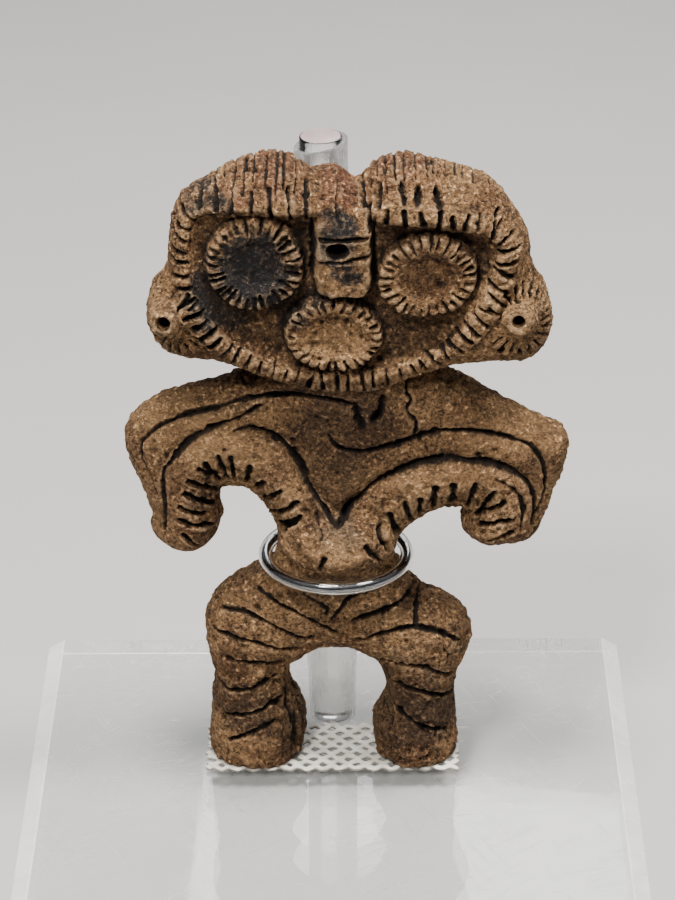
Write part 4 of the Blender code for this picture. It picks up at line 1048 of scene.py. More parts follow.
@dataclass(frozen=True)
class Slab:
    """A flat block with a drawn outline, thinned to nothing at its edge as a hand rounds it over."""

    name: str
    outline: list[Place]
    front: float
    back: float
    edge: float
    middle_y: float
    voxel: float = 1.0

    def build(self) -> bpy.types.Object:
        """Builds the block."""
        line = smooth_line(self.outline, True)
        curve = bpy.data.curves.new(self.name, "CURVE")
        curve.dimensions = "2D"
        curve.fill_mode = "BOTH"
        curve.extrude = (self.front + self.back) / 2
        spline = curve.splines.new("POLY")
        spline.points.add(len(line) - 1)
        for point, (x, z) in zip(spline.points, line):
            point.co = (x, z, 0, 1)
        spline.use_cyclic_u = True
        obj = bpy.data.objects.new(self.name, curve)
        bpy.context.scene.collection.objects.link(obj)
        obj.rotation_euler = (math.radians(90), 0, 0)
        obj = remeshed(baked(obj), self.voxel)
        points = points_of(obj.data)
        share = np.clip(distance_to(points[:, [0, 2]], line, True) / self.edge, 0, 1)
        rounded = np.sqrt(1 - (1 - share) ** 2)
        side = points[:, 1] / ((self.front + self.back) / 2)
        reach = np.where(side < 0, self.front, self.back)
        points[:, 1] = self.middle_y + side * reach * rounded
        set_points(obj.data, points)
        return obj


@dataclass(frozen=True)
class Lump:
    """A rounded mass worked into the slabs."""

    name: str
    centre: Point
    halves: Point

    def build(self) -> bpy.types.Object:
        """Builds the mass."""
        shape = bmesh.new()
        bmesh.ops.create_uvsphere(shape, u_segments=32, v_segments=20, radius=1.0)
        mesh = mesh_from(shape, self.name)
        mesh.transform(Matrix.Translation(self.centre) @ Matrix.Diagonal((*self.halves, 1)))
        return mesh_object(self.name, mesh)


@dataclass(frozen=True)
class EarSpool:
    """A hollow-tipped cone on an ear lobe."""

    name: str
    foot: Point
    direction: Point
    length: float
    foot_radius: float
    tip_radius: float
    hole_radius: float
    hole_depth: float
    sides: int = 40

    def build(self) -> bpy.types.Object:
        """Builds the cone."""
        return cone(
            self.name, self.foot, self.direction, self.length, self.foot_radius, self.tip_radius, self.sides
        )

    def drilled(self, points: Array) -> tuple[Array, Array]:
        """Pushes the tip in to make its hole.

        Args:
            points: The figure's points.

        Returns:
            How far each point moves, and how deep in the hole it lies from 0 to 1.
        """
        aim = np.array(Vector(self.direction).normalized())
        offset = points - np.array(self.foot)
        along = offset @ aim
        aside = np.linalg.norm(offset - along[:, None] * aim, axis=1)
        share = eased(-aside, -1.25 * self.hole_radius, -0.75 * self.hole_radius)
        share = share * eased(along, self.length - 4.5, self.length - 2.5)
        return -aim * (self.hole_depth * share)[:, None], share


@dataclass(frozen=True)
class Disc:
    """An applied disc with a raised notched rim round a rough hollow."""

    centre: Place
    halves: Place
    tilt_deg: float
    hollow: float
    lift: float
    notches: int
    rim: float = 0.6
    bowl: float = 1.0

    def raised(self, places: Array, relief: Array, dish: float) -> Array:
        """Lays the disc on the relief.

        Args:
            places: The (x, z) places.
            relief: The relief there without the disc.
            dish: Depth of the dish that it lies in.

        Returns:
            The relief with the disc.
        """
        out = ellipse_share(places, self.centre, self.halves, self.tilt_deg)
        half = (1 - self.hollow) / 2
        ring = self.rim * np.clip(1 - ((out - (1 + self.hollow) / 2) / (half + 0.1)) ** 2, 0, 1)
        disc = self.lift - dish + ring - self.bowl * eased(-out, -self.hollow, -self.hollow * 0.6)
        return relief + (np.maximum(disc, relief - 0.6) - relief) * eased(-out, -1.05, -0.96)

    def notch_ends(self, rng: random.Random) -> Iterator[tuple[Array, Array]]:
        """Yields both ends of each notch across the rim."""
        turn = math.radians(self.tilt_deg)
        for i in range(self.notches):
            angle = 2 * math.pi * (i + rng.uniform(-0.2, 0.2)) / self.notches
            along, across = self.halves[0] * math.cos(angle), self.halves[1] * math.sin(angle)
            out = np.array([
                along * math.cos(turn) - across * math.sin(turn),
                along * math.sin(turn) + across * math.cos(turn),
            ])
            yield np.array(self.centre) + out * (self.hollow + rng.uniform(0.02, 0.2)), (
                np.array(self.centre) + out * rng.uniform(0.92, 1.02)
            )


@dataclass(frozen=True)
class Patch:
    """A soft patch of colour on the clay: its mask, centre, half-sizes and strength."""

    mask: str
    centre: Place
    halves: Place
    strength: float
    front_only: bool = True


PATCHES = tuple(Patch(mask, *row) for mask, rows in {
    "soot": (
        ((-17.0, 137.4), (13.5, 13.0), 0.70), ((-17.5, 132.5), (11.0, 7.5), 0.85),
        ((-27.5, 130.0), (7.5, 8.5), 0.72), ((-24.0, 123.5), (9.0, 5.5), 0.66),
        ((2.4, 144.6), (6.5, 5.5), 0.82), ((2.6, 141.0), (5.0, 3.6), 1.00),
        ((4.0, 136.2), (5.5, 4.4), 0.60), ((1.4, 149.6), (4.8, 3.8), 0.55),
        ((-25.5, 151.6), (11.0, 4.0), 0.52), ((-8.4, 125.6), (7.0, 5.5), 0.55),
        ((-2.0, 128.8), (10.0, 3.2), 0.55), ((-34.5, 124.0), (6.0, 5.0), 0.34),
        ((-6.5, 139.5), (4.0, 11.0), 0.50),
    ),
    # Painted light on the raised tops that face the lamps.
    "painted_light": (
        ((4.0, 117.5), (9.0, 6.5), 0.90), ((-33.0, 94.0), (17.0, 8.5), 0.95),
        ((42.0, 91.0), (16.0, 8.0), 0.80), ((-24.0, 87.5), (13.0, 5.5), 0.90),
        ((27.0, 80.5), (17.0, 5.0), 0.90), ((2.0, 64.0), (12.0, 6.0), 0.80),
        ((-10.0, 75.0), (6.0, 9.0), 0.60), ((24.0, 152.0), (17.0, 4.5), 0.40),
        ((-18.0, 46.0), (9.0, 6.0), 0.45), ((24.0, 38.5), (9.0, 5.5), 0.35),
        ((14.0, 108.8), (18.0, 3.0), 0.50), ((-43.0, 72.0), (5.0, 12.0), 0.50),
        ((51.0, 74.0), (5.0, 12.0), 0.50), ((-20.0, 5.5), (8.0, 4.5), 0.35),
    ),
    # Painted shade under the chin, beneath the belly and on the legs.
    "shade": (
        ((4.0, 95.0), (20.0, 15.0), 0.58), ((3.0, 82.0), (12.0, 10.0), 0.62),
        ((3.0, 103.0), (20.0, 6.0), 0.52), ((2.0, 51.0), (17.0, 5.0), 0.50),
        ((-8.5, 12.0), (6.0, 18.0), 0.58, False), ((12.5, 12.0), (6.0, 18.0), 0.58, False),
        ((-20.0, 16.0), (12.0, 10.0), 0.62, False), ((22.0, 14.0), (12.0, 12.0), 0.76, False),
        ((14.0, 43.0), (10.0, 5.0), 0.38), ((24.0, 27.0), (9.0, 4.0), 0.34),
    ),
    "ochre": (
        ((-15.0, 158.0), (19.0, 7.5), 0.50, False), ((4.0, 156.5), (8.0, 5.5), 0.62, False),
        ((4.2, 151.6), (3.0, 3.8), 0.72), ((18.0, 157.5), (13.0, 6.5), 0.52, False),
        ((22.0, 160.5), (6.0, 3.4), 0.30, False), ((-45.0, 91.5), (8.0, 8.0), 0.28, False),
        ((50.5, 110.5), (6.5, 4.5), 0.30), ((-30.0, 62.0), (7.0, 5.0), 0.30),
        ((23.0, 8.0), (9.0, 9.0), 0.32), ((1.0, 40.0), (7.0, 7.0), 0.26),
    ),
    "ash": (
        ((2.0, 67.6), (7.5, 3.4), 0.75), ((-20.0, 53.5), (9.0, 4.5), 0.42, False),
        ((2.0, 80.0), (9.0, 8.0), 0.30), ((26.0, 103.0), (11.0, 5.0), 0.30),
        ((21.0, 33.5), (6.0, 4.5), 0.34), ((36.0, 133.0), (5.0, 8.0), 0.30),
        ((26.0, 122.0), (10.0, 4.0), 0.30), ((-39.5, 125.0), (5.0, 9.0), 0.34, False),
        ((51.0, 122.0), (4.0, 10.0), 0.36, False),
    ),
}.items() for row in rows)


class ClayMarks:
    """Collects how deep each mark is pressed into the clay, how high its burr stands, and the painted shade
    in the face's dish.
    """

    SHOULDER = 3.0

    def __init__(self, points: Array) -> None:
        """Starts with unmarked clay.

        Args:
            points: The figure's points, which aren't changed.
        """
        self.x, self.z = points[:, 0].copy(), points[:, 2].copy()
        field = NoiseField(Seed.RAGGED_EDGES)
        self.ragged = 0.24 * field.at(points, 1.0, 0) + 0.16 * field.at(points, 2.1, 1)
        self.depth = np.zeros(len(points))
        self.burr = np.zeros(len(points))
        self.shade = np.zeros(len(points))
        self.order = np.argsort(self.z, kind="stable")
        self.heights = self.z[self.order]

    def stroke(self, a: Any, b: Any, width: float, depth: float, facing: Array, soft: float = 0.0,
               taper: float = 1.0) -> None:
        """Presses a groove from a to b, keeping the deepest press at each point.

        Args:
            a: Start, as (x, z).
            b: End.
            width: Half-width of the groove at its start.
            depth: Its depth.
            facing: How far each point takes the mark, from 0 to 1.
            soft: Share of the depth that the clay beside it sinks.
            taper: Width at the end as a share of that at the start.
        """
        a, b = np.array(a, float), np.array(b, float)
        reach = max(1.8 * width, self.SHOULDER if soft else 0.0)
        low, high = np.searchsorted(self.heights, (min(a[1], b[1]) - reach, max(a[1], b[1]) + reach))
        near = self.order[low:high]
        x = self.x[near]
        near = near[(x > min(a[0], b[0]) - reach) & (x < max(a[0], b[0]) + reach)]
        near = near[facing[near] > 0]
        if len(near) == 0:
            return
        places = np.stack([self.x[near], self.z[near]], axis=1)
        along = b - a
        t = np.clip(((places - a) @ along) / max(along @ along, 1e-12), 0, 1)
        gap = np.linalg.norm(places - a - t[:, None] * along, axis=1)
        wide = width * (1 + (taper - 1) * t)
        gap = gap + self.ragged[near] * np.minimum(wide, 0.9)
        groove = depth * eased(-gap / wide, -0.80, -0.12) * (0.6 + 0.4 * wide / width)
        shoulder = soft * depth * eased(-gap, -self.SHOULDER, 0.0)
        self.depth[near] = np.maximum(self.depth[near], (groove + shoulder) * facing[near])
        lip = 0.09 * depth * np.exp(-((gap / wide - 1.05) / 0.4) ** 2)
        self.burr[near] = np.maximum(self.burr[near], lip * facing[near])

    def lines(self, lines: Sequence[Line], facing: Array, soft: float, rng: random.Random,
              share: float = 1.0) -> None:
        """Presses every line of a list: uneven along its length, and fading at its ends.

        Args:
            lines: The lines, with their half-widths and depths.
            facing: How far each point takes the mark.
            soft: Share of the depth that the clay beside it sinks.
            rng: Where the unevenness comes from.
            share: Their width here, as a share of the listed one.
        """
        for places, width, depth in lines:
            spans = spans_of(smooth_line(places, False, 4), False)
            drift = rng.uniform(0, 6)
            for k, (a, b) in enumerate(spans):
                end = min(k + 0.6, len(spans) - k - 0.4) / (0.22 * len(spans))
                fade = min(1.0, 0.6 + 0.4 * end)
                uneven = rng.uniform(0.85, 1.12) * (1 + 0.18 * math.sin(drift + 0.55 * k)) * fade
                self.stroke(a, b, width * share * (0.35 + 0.65 * uneven), depth * uneven, facing, soft)

    def across(self, line: Array, count: int, halves: tuple[float, float], width: float,
               depth: tuple[float, float], facing: Array, rng: random.Random, taper: float = 1.0) -> None:
        """Presses notches across an open line.

        Args:
            line: The line.
            count: How many notches.
            halves: Their reach to the line's right, where they start, and to its left.
            width: Half-width where they start.
            depth: Least and greatest depth.
            facing: How far each point takes the mark.
            rng: Where the unevenness comes from.
            taper: Width at their end as a share of that at their start.
        """
        for place, direction in even_places(line, count):
            side = np.array([-direction[1], direction[0]]) + direction * rng.uniform(-0.28, 0.28)
            middle = place + direction * rng.uniform(-0.35, 0.35)
            start = middle - side * halves[0] * rng.uniform(0.85, 1.15)
            end = middle + side * halves[1] * rng.uniform(0.6, 1.1)
            self.stroke(start, end, width * rng.uniform(0.75, 1.2), rng.uniform(*depth), facing, 0.0, taper)


@dataclass
class ClayFigurine:
    """The fired clay figure, carved and worn, as one solid."""

    scale: float = 0.001
    middle_y: float = 0.021
    fine_voxel: float = 0.33
    blend_passes: int = 17
    quick_voxel: float = 0.6
    quick_passes: int = 6
    triangles: int = 190000
    waist_z: float = 58.2
    waist_reach: float = 5.2
    waist_y: float = -3.8
    waist_press: float = 0.37
    rim_open_until: int = 17
    rim_half_width: float = 3.0
    rim_raise: float = 1.8
    rim_notches: int = 43
    dish_depth: float = 3.0
    coil_half_width: float = 5.6
    coil_raise: float = 2.3
    cut_overrun: float = 1.45
    full_groove: float = 1.25
    pits: int = 2600
    quick_pits: int = 500
    nose_centre: Place = (3.9, 139.6)
    nose_halves: Place = (6.5, 10.6)
    nose_raise: float = 4.8
    nose_hole: Place = (2.6, 141.3)
    nose_hole_halves: Place = (2.4, 1.9)
    nose_hole_depth: float = 3.6
    slabs: tuple[Slab, ...] = (
        Slab("head", HEAD_OUTLINE, 11.5, 10.5, 9.5, -1.0),
        Slab("torso", TORSO_OUTLINE, 8.2, 7.4, 8.0, -0.5),
        Slab("legs", LEGS_OUTLINE, 10.5, 9.5, 10.5, 0.0),
    )
    lumps: tuple[Lump, ...] = (
        Lump("belly", (2.1, -8.0, 63.6), (14.2, 8.0, 8.6)),
        Lump("lower_belly", (2.0, -9.3, 62.2), (12.8, 7.9, 6.2)),
        Lump("neck", (3.6, -0.6, 102.6), (20.0, 10.2, 12.5)),
        Lump("seat", (1.4, 1.5, 43.3), (22.0, 8.8, 9.5)),
        Lump("left_foot", (-18.6, -0.8, 4.0), (11.0, 9.6, 8.0)),
        Lump("right_foot", (20.5, -0.4, 4.0), (10.2, 9.6, 8.0)),
        Lump("nape", (4.6, 2.5, 133.5), (27.0, 7.8, 15.0)),
    )
    spools: tuple[EarSpool, ...] = (
        EarSpool("left_spool", (-34.6, -5.0, 122.9), (-0.22, -0.96, 0.15), 12.4, 6.6, 3.0, 1.5, 4.2),
        EarSpool("right_spool", (44.7, -5.0, 122.8), (-0.09, -0.98, 0.17), 12.2, 6.3, 3.0, 1.3, 4.2),
    )
    discs: tuple[Disc, ...] = (
        Disc((-16.3, 137.4), (11.0, 11.2), 0.0, 0.60, 3.4, 32),
        Disc((23.0, 134.2), (11.3, 9.9), 14.0, 0.60, 3.4, 29),
        Disc((1.5, 119.7), (11.2, 9.0), -6.0, 0.66, 3.6, 27),
    )
    rough_spots: tuple[tuple[Place, Place], ...] = (
        ((2.0, 64.0), (13.0, 7.0)), ((31.0, 32.0), (5.0, 9.0)), ((-18.0, 1.0), (12.0, 8.0)),
        ((21.0, 1.0), (11.0, 8.0)), ((-19.0, 157.0), (12.0, 5.0)), ((24.0, 157.0), (17.0, 5.0)),
        ((3.0, 154.0), (8.0, 5.0)), ((25.0, 36.0), (7.0, 6.0)), ((-28.5, 150.0), (6.0, 4.0)),
        ((4.0, 113.0), (16.0, 4.0)),
    )
    lobe_notches: tuple[tuple[Place, float, float, float, float, int], ...] = (
        ((-35.6, 122.8), 5.6, 8.6, 200.0, 330.0, 9),
        ((-35.6, 123.4), 5.4, 8.0, 20.0, 60.0, 3),
        ((44.6, 122.6), 5.4, 8.6, -140.0, 150.0, 19),
    )
    combings: tuple[tuple[float, float, int, float], ...] = (
        (-30.0, -7.0, 11, 157.0), (9.5, 40.0, 15, 157.8),
    )

    def build(self) -> bpy.types.Object:
        """Shapes, carves and wears the figure.

        Returns:
            The piece, in metres, in its place.
        """
        voxel, passes = self.fine_voxel, self.blend_passes
        blocks = [block.build() for block in (*self.slabs, *self.lumps, *self.spools)]
        figure = remeshed(joined(blocks, "clay_figurine"), voxel, passes)
        mesh = figure.data
        set_points(mesh, self._pinched(points_of(mesh)))
        points, normals = points_of(mesh), normals_of(mesh)
        marks = ClayMarks(points)
        carved = self._carved(points, normals, marks)
        set_points(mesh, carved)
        self._weather(mesh, marks)
        points = points_of(mesh)
        hole = np.zeros(len(points))
        for spool in self.spools:
            shift, share = spool.drilled(points)
            points += shift
            hole = np.maximum(hole, share)
        points[:, 2] = np.maximum(points[:, 2], 0.0)
        set_points(mesh, points)
        # Painted shade in the grooves, notches, scores and spool holes.
        set_mask(mesh, "groove", np.maximum(np.clip(marks.depth / self.full_groove, 0, 1), hole))
        # Painted shade in hollows and a painted highlight on edges.
        set_mask(mesh, "hollow", self._hollows(mesh))
        self._paint(mesh, marks.shade)
        return self._finish(figure)

    def dress(self, figure: bpy.types.Object, material: bpy.types.Material) -> None:
        """Gives the figure its clay and ties it to the frame."""
        place_piece(figure, ["dogu_figurine"], material)

    def _finish(self, figure: bpy.types.Object) -> bpy.types.Object:
        """Thins the mesh, and puts it in its place within the solid's height."""
        faces = sum(len(face.vertices) - 2 for face in figure.data.polygons)
        if faces > self.triangles:
            thin = figure.modifiers.new("fewer_faces", "DECIMATE")
            thin.ratio = self.triangles / faces
        figure = baked(figure)
        mesh = figure.data
        low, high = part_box("dogu_figurine")
        points = points_of(mesh) * self.scale + np.array([0.0, self.middle_y, low[2]])
        points[:, 2] = np.minimum(points[:, 2], high[2])
        set_points(mesh, points)
        shaded_smooth(mesh)
        return figure

    def _pinched(self, points: Array) -> Array:
        """The points with the waist pressed thinner and forward."""
        share = self.waist_press * np.exp(-(((points[:, 2] - self.waist_z) / self.waist_reach) ** 2))
        points[:, 1] += (self.waist_y - points[:, 1]) * share * (1 - eased(-points[:, 1], 6.5, 8.5))
        return points

    def _face_relief(self, places: Array) -> Array:
        """How far the face's rim, discs and nose stand out of the head, or the dish lies in it."""
        rim = smooth_line(FACE_RIM, True)
        gap = distance_to(places, rim, True)
        within = inside(places, rim)
        width = self.rim_half_width
        relief = self.rim_raise * np.sqrt(np.clip(1 - (gap / width) ** 2, 0, 1))
        relief -= self.dish_depth * eased(np.where(within, gap, 0), width * 0.4, width * 2.0)
        for disc in self.discs:
            relief = disc.raised(places, relief, self.dish_depth)
        nose = eased(-ellipse_share(places, self.nose_centre, self.nose_halves, 0.0, 5.0), -1.08, -0.88)
        return relief + (np.maximum(self.nose_raise - self.dish_depth, relief) - relief) * nose

    def _carved(self, points: Array, normals: Array, marks: ClayMarks) -> Array:
        """Carves the relief, then every pressed line and notch.

        Args:
            points: The uncarved points.
            normals: The surface's direction at each.
            marks: Takes the marks as they are pressed.

        Returns:
            The carved points.
        """
        rng = random.Random(Seed.CARVING)
        places = points[:, [0, 2]]
        front = eased(-normals[:, 1], -0.05, 0.45)
        relief = self._face_relief(places) * eased(places[:, 1], 102.0, 105.0)
        # Painted shade in the face's dish.
        marks.shade = 0.55 * eased(-relief, 0.9, 2.4) * front
        gap = distance_to(places, smooth_line(ARM_COIL, False), False)
        coil = self.coil_raise * np.sqrt(np.clip(1 - (gap / self.coil_half_width) ** 2, 0, 1))
        coil *= eased(-places[:, 1], -96.0, -92.0) * eased(places[:, 1], 57.0, 60.0)
        carved = points.copy()
        carved[:, 1] -= front * (relief + coil)
        facing = eased(-normals[:, 1], -0.2, 0.3)
        self._press_front(marks, facing, normals, rng)
        back = eased(normals[:, 1], 0.2, 0.5)
        marks.lines(BACK_LINES, back, 0.35, rng, 0.75)
        burr = marks.burr * (1 - np.clip(marks.depth / 0.5, 0, 1))
        return carved + normals * (burr - marks.depth)[:, None]

    def _press_front(self, marks: ClayMarks, facing: Array, normals: Array, rng: random.Random) -> None:
        """Presses every line, notch and comb stroke of the front.

        Args:
            marks: Takes the marks.
            facing: How far each point takes a mark from the front.
            normals: The surface's direction at each point.
            rng: Where the unevenness comes from.
        """
        for disc in self.discs:
            for a, b in disc.notch_ends(rng):
                marks.stroke(b, a, rng.uniform(0.7, 1.1), rng.uniform(0.7, 1.9), facing, 0.0, 0.45)
        lower_rim = smooth_line(FACE_RIM[: self.rim_open_until], False)
        marks.across(lower_rim, self.rim_notches, (1.9, 2.5), 0.95, (1.1, 2.2), facing, rng, 0.8)
        for x, low, high in BROW_NOTCHES:
            lean = rng.uniform(-0.5, 0.5)
            marks.stroke((x - lean, low), (x + lean, high), 1.05, rng.uniform(1.6, 2.4), facing, 0.0, 0.8)
        edges = eased(-normals[:, 1], -0.7, -0.1)
        for head, foot, width in ARM_CUTS:
            past_edge = np.array(head) + self.cut_overrun * (np.array(foot) - np.array(head))
            marks.stroke(head, past_edge, width, rng.uniform(1.6, 2.2), edges, 0.0, 0.7)
        marks.lines(BODY_LINES, facing, 0.45, rng, 0.80)
        marks.lines(LEG_LINES, facing, 0.35, rng, 0.80)
        marks.lines(NOSE_LINES, facing, 0.0, rng, 0.9)
        marks.lines(CRACKS, facing, 0.0, rng, 1.2)
        lobes = eased(-normals[:, 1], 0.1, 0.5)
        for centre, near, far, first, last, count in self.lobe_notches:
            for angle in np.radians(np.linspace(first, last, count)):
                out = np.array([math.cos(angle), math.sin(angle)])
                end = np.array(centre) + out * (near + rng.uniform(-0.3, 0.5))
                start = np.array(centre) + out * far
                marks.stroke(start, end, 0.85, rng.uniform(0.9, 1.6), lobes, 0.0, 0.5)
        crest = eased(-normals[:, 1], -0.7, -0.3)
        for first, last, count, low in self.combings:
            for i, x in enumerate(np.linspace(first, last, count)):
                start = low - 0.012 * (x - (first + last) / 2) ** 2 + 0.5 * math.sin(2.3 * i)
                tilt = rng.uniform(-0.7, 0.7)
                x += rng.uniform(-0.5, 0.5)
                marks.stroke((x * 0.97 + tilt, start + 9.0), (x, start - rng.uniform(0.0, 2.4)), 0.95,
                             rng.uniform(0.8, 1.5), crest, 0.0, 0.6)
        hole = ellipse_share(np.stack([marks.x, marks.z], axis=1), self.nose_hole, self.nose_hole_halves)
        marks.depth = np.maximum(marks.depth, facing * self.nose_hole_depth * eased(-hole, -1.2, -0.6))

    def _weather(self, mesh: bpy.types.Mesh, marks: ClayMarks) -> None:
        """Roughens the clay: hand-made unevenness, a sandy skin, pits and drag marks."""
        points, normals = points_of(mesh), normals_of(mesh)
        field = NoiseField(Seed.SKIN)
        places = points[:, [0, 2]]
        calm = 1 - 0.6 * eased(-np.abs(points[:, 2] - self.waist_z), -9.0, -4.0)
        smooth_chest = 1 - 0.35 * eased(-ellipse_share(places, (4.0, 92.0), (44.0, 14.0)), -1.1, -0.8)
        swell = 0.28 * field.at(points, 8.5, 0) + 0.24 * field.at(points, 4.0, 1)
        skin = 0.23 * field.at(points, 1.9, 2) + 0.24 * field.at(points, 0.95, 3)
        ragged = np.minimum(field.at(points, 1.25, 1), 0.1)
        torn = eased(field.at(points, 13.0, 2), -0.35, 0.35)
        for centre, halves in self.rough_spots:
            torn = np.maximum(torn, 1.3 * eased(-ellipse_share(places, centre, halves), -1.2, -0.6))
        rough = skin + 0.55 * torn * (ragged - 0.1)
        shift = (swell + rough * smooth_chest) * calm
        shift = np.where(marks.depth > 0.35, shift * 0.6, shift)
        shift += self._drag_marks(points, normals, field, marks)
        shift -= self._pits(points)
        set_points(mesh, points + normals * shift[:, None])

    @staticmethod
    def _drag_marks(points: Array, normals: Array, field: NoiseField, marks: ClayMarks) -> Array:
        """Pares the inner sides of the legs, scored upright where a tool was drawn down.

        Args:
            points: The figure's points.
            normals: The surface's direction at each.
            field: The noise that the scores follow.
            marks: Takes the depth of the scores, for the painted shade in them.

        Returns:
            How far each point moves outwards.
        """
        x, z = points[:, 0], points[:, 2]
        left = eased(x, -12.9 + 0.05 * z, -11.2 + 0.05 * z) * eased(-x, 4.0, 5.0)
        right = eased(-x, -17.4 + 0.1 * z, -15.6 + 0.1 * z) * eased(x, 8.0, 9.0)
        inner = np.maximum(left, right) * eased(-z, -29.0, -24.0) * eased(z, 0.5, 4.0)
        drawn = field.at(points * np.array([1.0, 1.0, 0.09]), 1.25, None)
        front = eased(-normals[:, 1], -0.3, 0.5)
        marks.depth = np.maximum(marks.depth, 1.1 * inner * eased(-drawn, 0.05, 0.5))
        return inner * (1.1 * (np.minimum(drawn, 0.1) - 0.1) - 0.7 * front)

    def _pits(self, points: Array) -> Array:
        """Small holes where grit fell out, scattered all over."""
        rng = np.random.default_rng(Seed.PITS)
        depth = np.zeros(len(points))
        tree = KDTree(len(points))
        for k, point in enumerate(points):
            tree.insert(point, k)
        tree.balance()
        count = self.pits
        for k in rng.choice(len(points), min(count, len(points)), replace=False):
            radius = 0.45 + 0.95 * rng.random() ** 3
            deep = radius * rng.uniform(0.35, 0.75)
            for _, near, gap in tree.find_range(points[k], radius):
                depth[near] = max(depth[near], deep * (1 - (gap / radius) ** 2))
        return depth

    @staticmethod
    def _hollows(mesh: bpy.types.Mesh) -> Array:
        """How hollow the surface is at each point: above 0 in a hollow and below 0 on an edge."""
        points, normals = points_of(mesh), normals_of(mesh)
        flat = np.empty(len(mesh.edges) * 2, np.int32)
        mesh.edges.foreach_get("vertices", flat)
        a, b = flat.reshape(-1, 2).T
        ties = np.bincount(a, minlength=len(points)) + np.bincount(b, minlength=len(points))
        mean = points.copy()
        total = np.zeros(len(points))
        for passes, gain in ((3, 2.0), (14, 0.75)):
            for _ in range(passes):
                summed = np.stack([
                    np.bincount(a, mean[b, i], len(points)) + np.bincount(b, mean[a, i], len(points))
                    for i in range(3)
                ], axis=1)
                mean = summed / np.maximum(ties, 1)[:, None]
            total += gain * np.einsum("ij,ij->i", mean - points, normals)
        return np.clip(total, -1, 1)

    @staticmethod
    def _paint(mesh: bpy.types.Mesh, shade: Array) -> None:
        """Stores the masks of soot, red slip and ash, of painted light on raised tops, and of painted shade.

        Args:
            mesh: The figure's mesh.
            shade: The painted shade in the face's dish, which the other patches of painted shade are added
                to.
        """
        points, normals = points_of(mesh), normals_of(mesh)
        field = NoiseField(Seed.STAINS)
        wobble = np.stack([field.at(points, 5.0, 0), field.at(points, 5.0, 1)], axis=1) * 2.2
        places = points[:, [0, 2]] + wobble
        front = eased(-points[:, 1], -4.0, 1.0)
        masks = {name: np.zeros(len(points)) for name in ("soot", "ochre", "ash", "painted_light")} | {"shade": shade}
        for patch in PATCHES:
            out = ellipse_share(places, patch.centre, patch.halves)
            share = patch.strength * eased(-out, -1.25, -0.35)
            if patch.front_only:
                share = share * front
            masks[patch.mask] = np.maximum(masks[patch.mask], share)
        cloud = eased(field.at(points, 21.0, 2), 0.15, 0.7)
        masks["ash"] = np.maximum(masks["ash"], 0.30 * cloud)
        behind = 0.30 * (1 - front) * eased(field.at(points, 26.0, 3), 0.2, 0.6)
        masks["soot"] = np.maximum(masks["soot"], behind)
        for name, values in masks.items():
            set_mask(mesh, name, values)


# The stand

@dataclass
class BasePlate:
    """The clear plate, its two side edges bevelled on top and every edge slightly eased."""

    bevel_width: float = 0.0041
    bevel_drop: float = 0.0025
    eased_edge: float = 0.00022
    level_normal: float = 0.995

    def build(self) -> bpy.types.Object:
        """Builds the plate."""
        low, high = (Vector(corner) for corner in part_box("base_plate"))
        shoulder = high.z - self.bevel_drop
        section = [
            (low.x, low.z), (high.x, low.z), (high.x, shoulder), (high.x - self.bevel_width, high.z),
            (low.x + self.bevel_width, high.z), (low.x, shoulder),
        ]
        shape = bmesh.new()
        ends = [[shape.verts.new((x, y, z)) for x, z in section] for y in (low.y, high.y)]
        shape.faces.new(ends[0])
        shape.faces.new(ends[1])
        for i in range(len(section)):
            j = (i + 1) % len(section)
            shape.faces.new((ends[0][i], ends[0][j], ends[1][j], ends[1][i]))
        bmesh.ops.recalc_face_normals(shape, faces=shape.faces)
        mesh = mesh_from(shape, "clear_plate")
        return rounded_edges(mesh_object("clear_plate", mesh), self.eased_edge, 2)

    def dress(self, plate: bpy.types.Object, material: bpy.types.Material, edge: bpy.types.Material) -> None:
        """Gives the plate its acrylic, its bevels and eased edges their own, and ties it to the frame."""
        place_piece(plate, ["base_plate"], material)
        plate.data.materials.append(edge)
        for face in plate.data.polygons:
            if max(abs(part) for part in face.normal) < self.level_normal:
                face.material_index = 1
        let_light_through(plate)


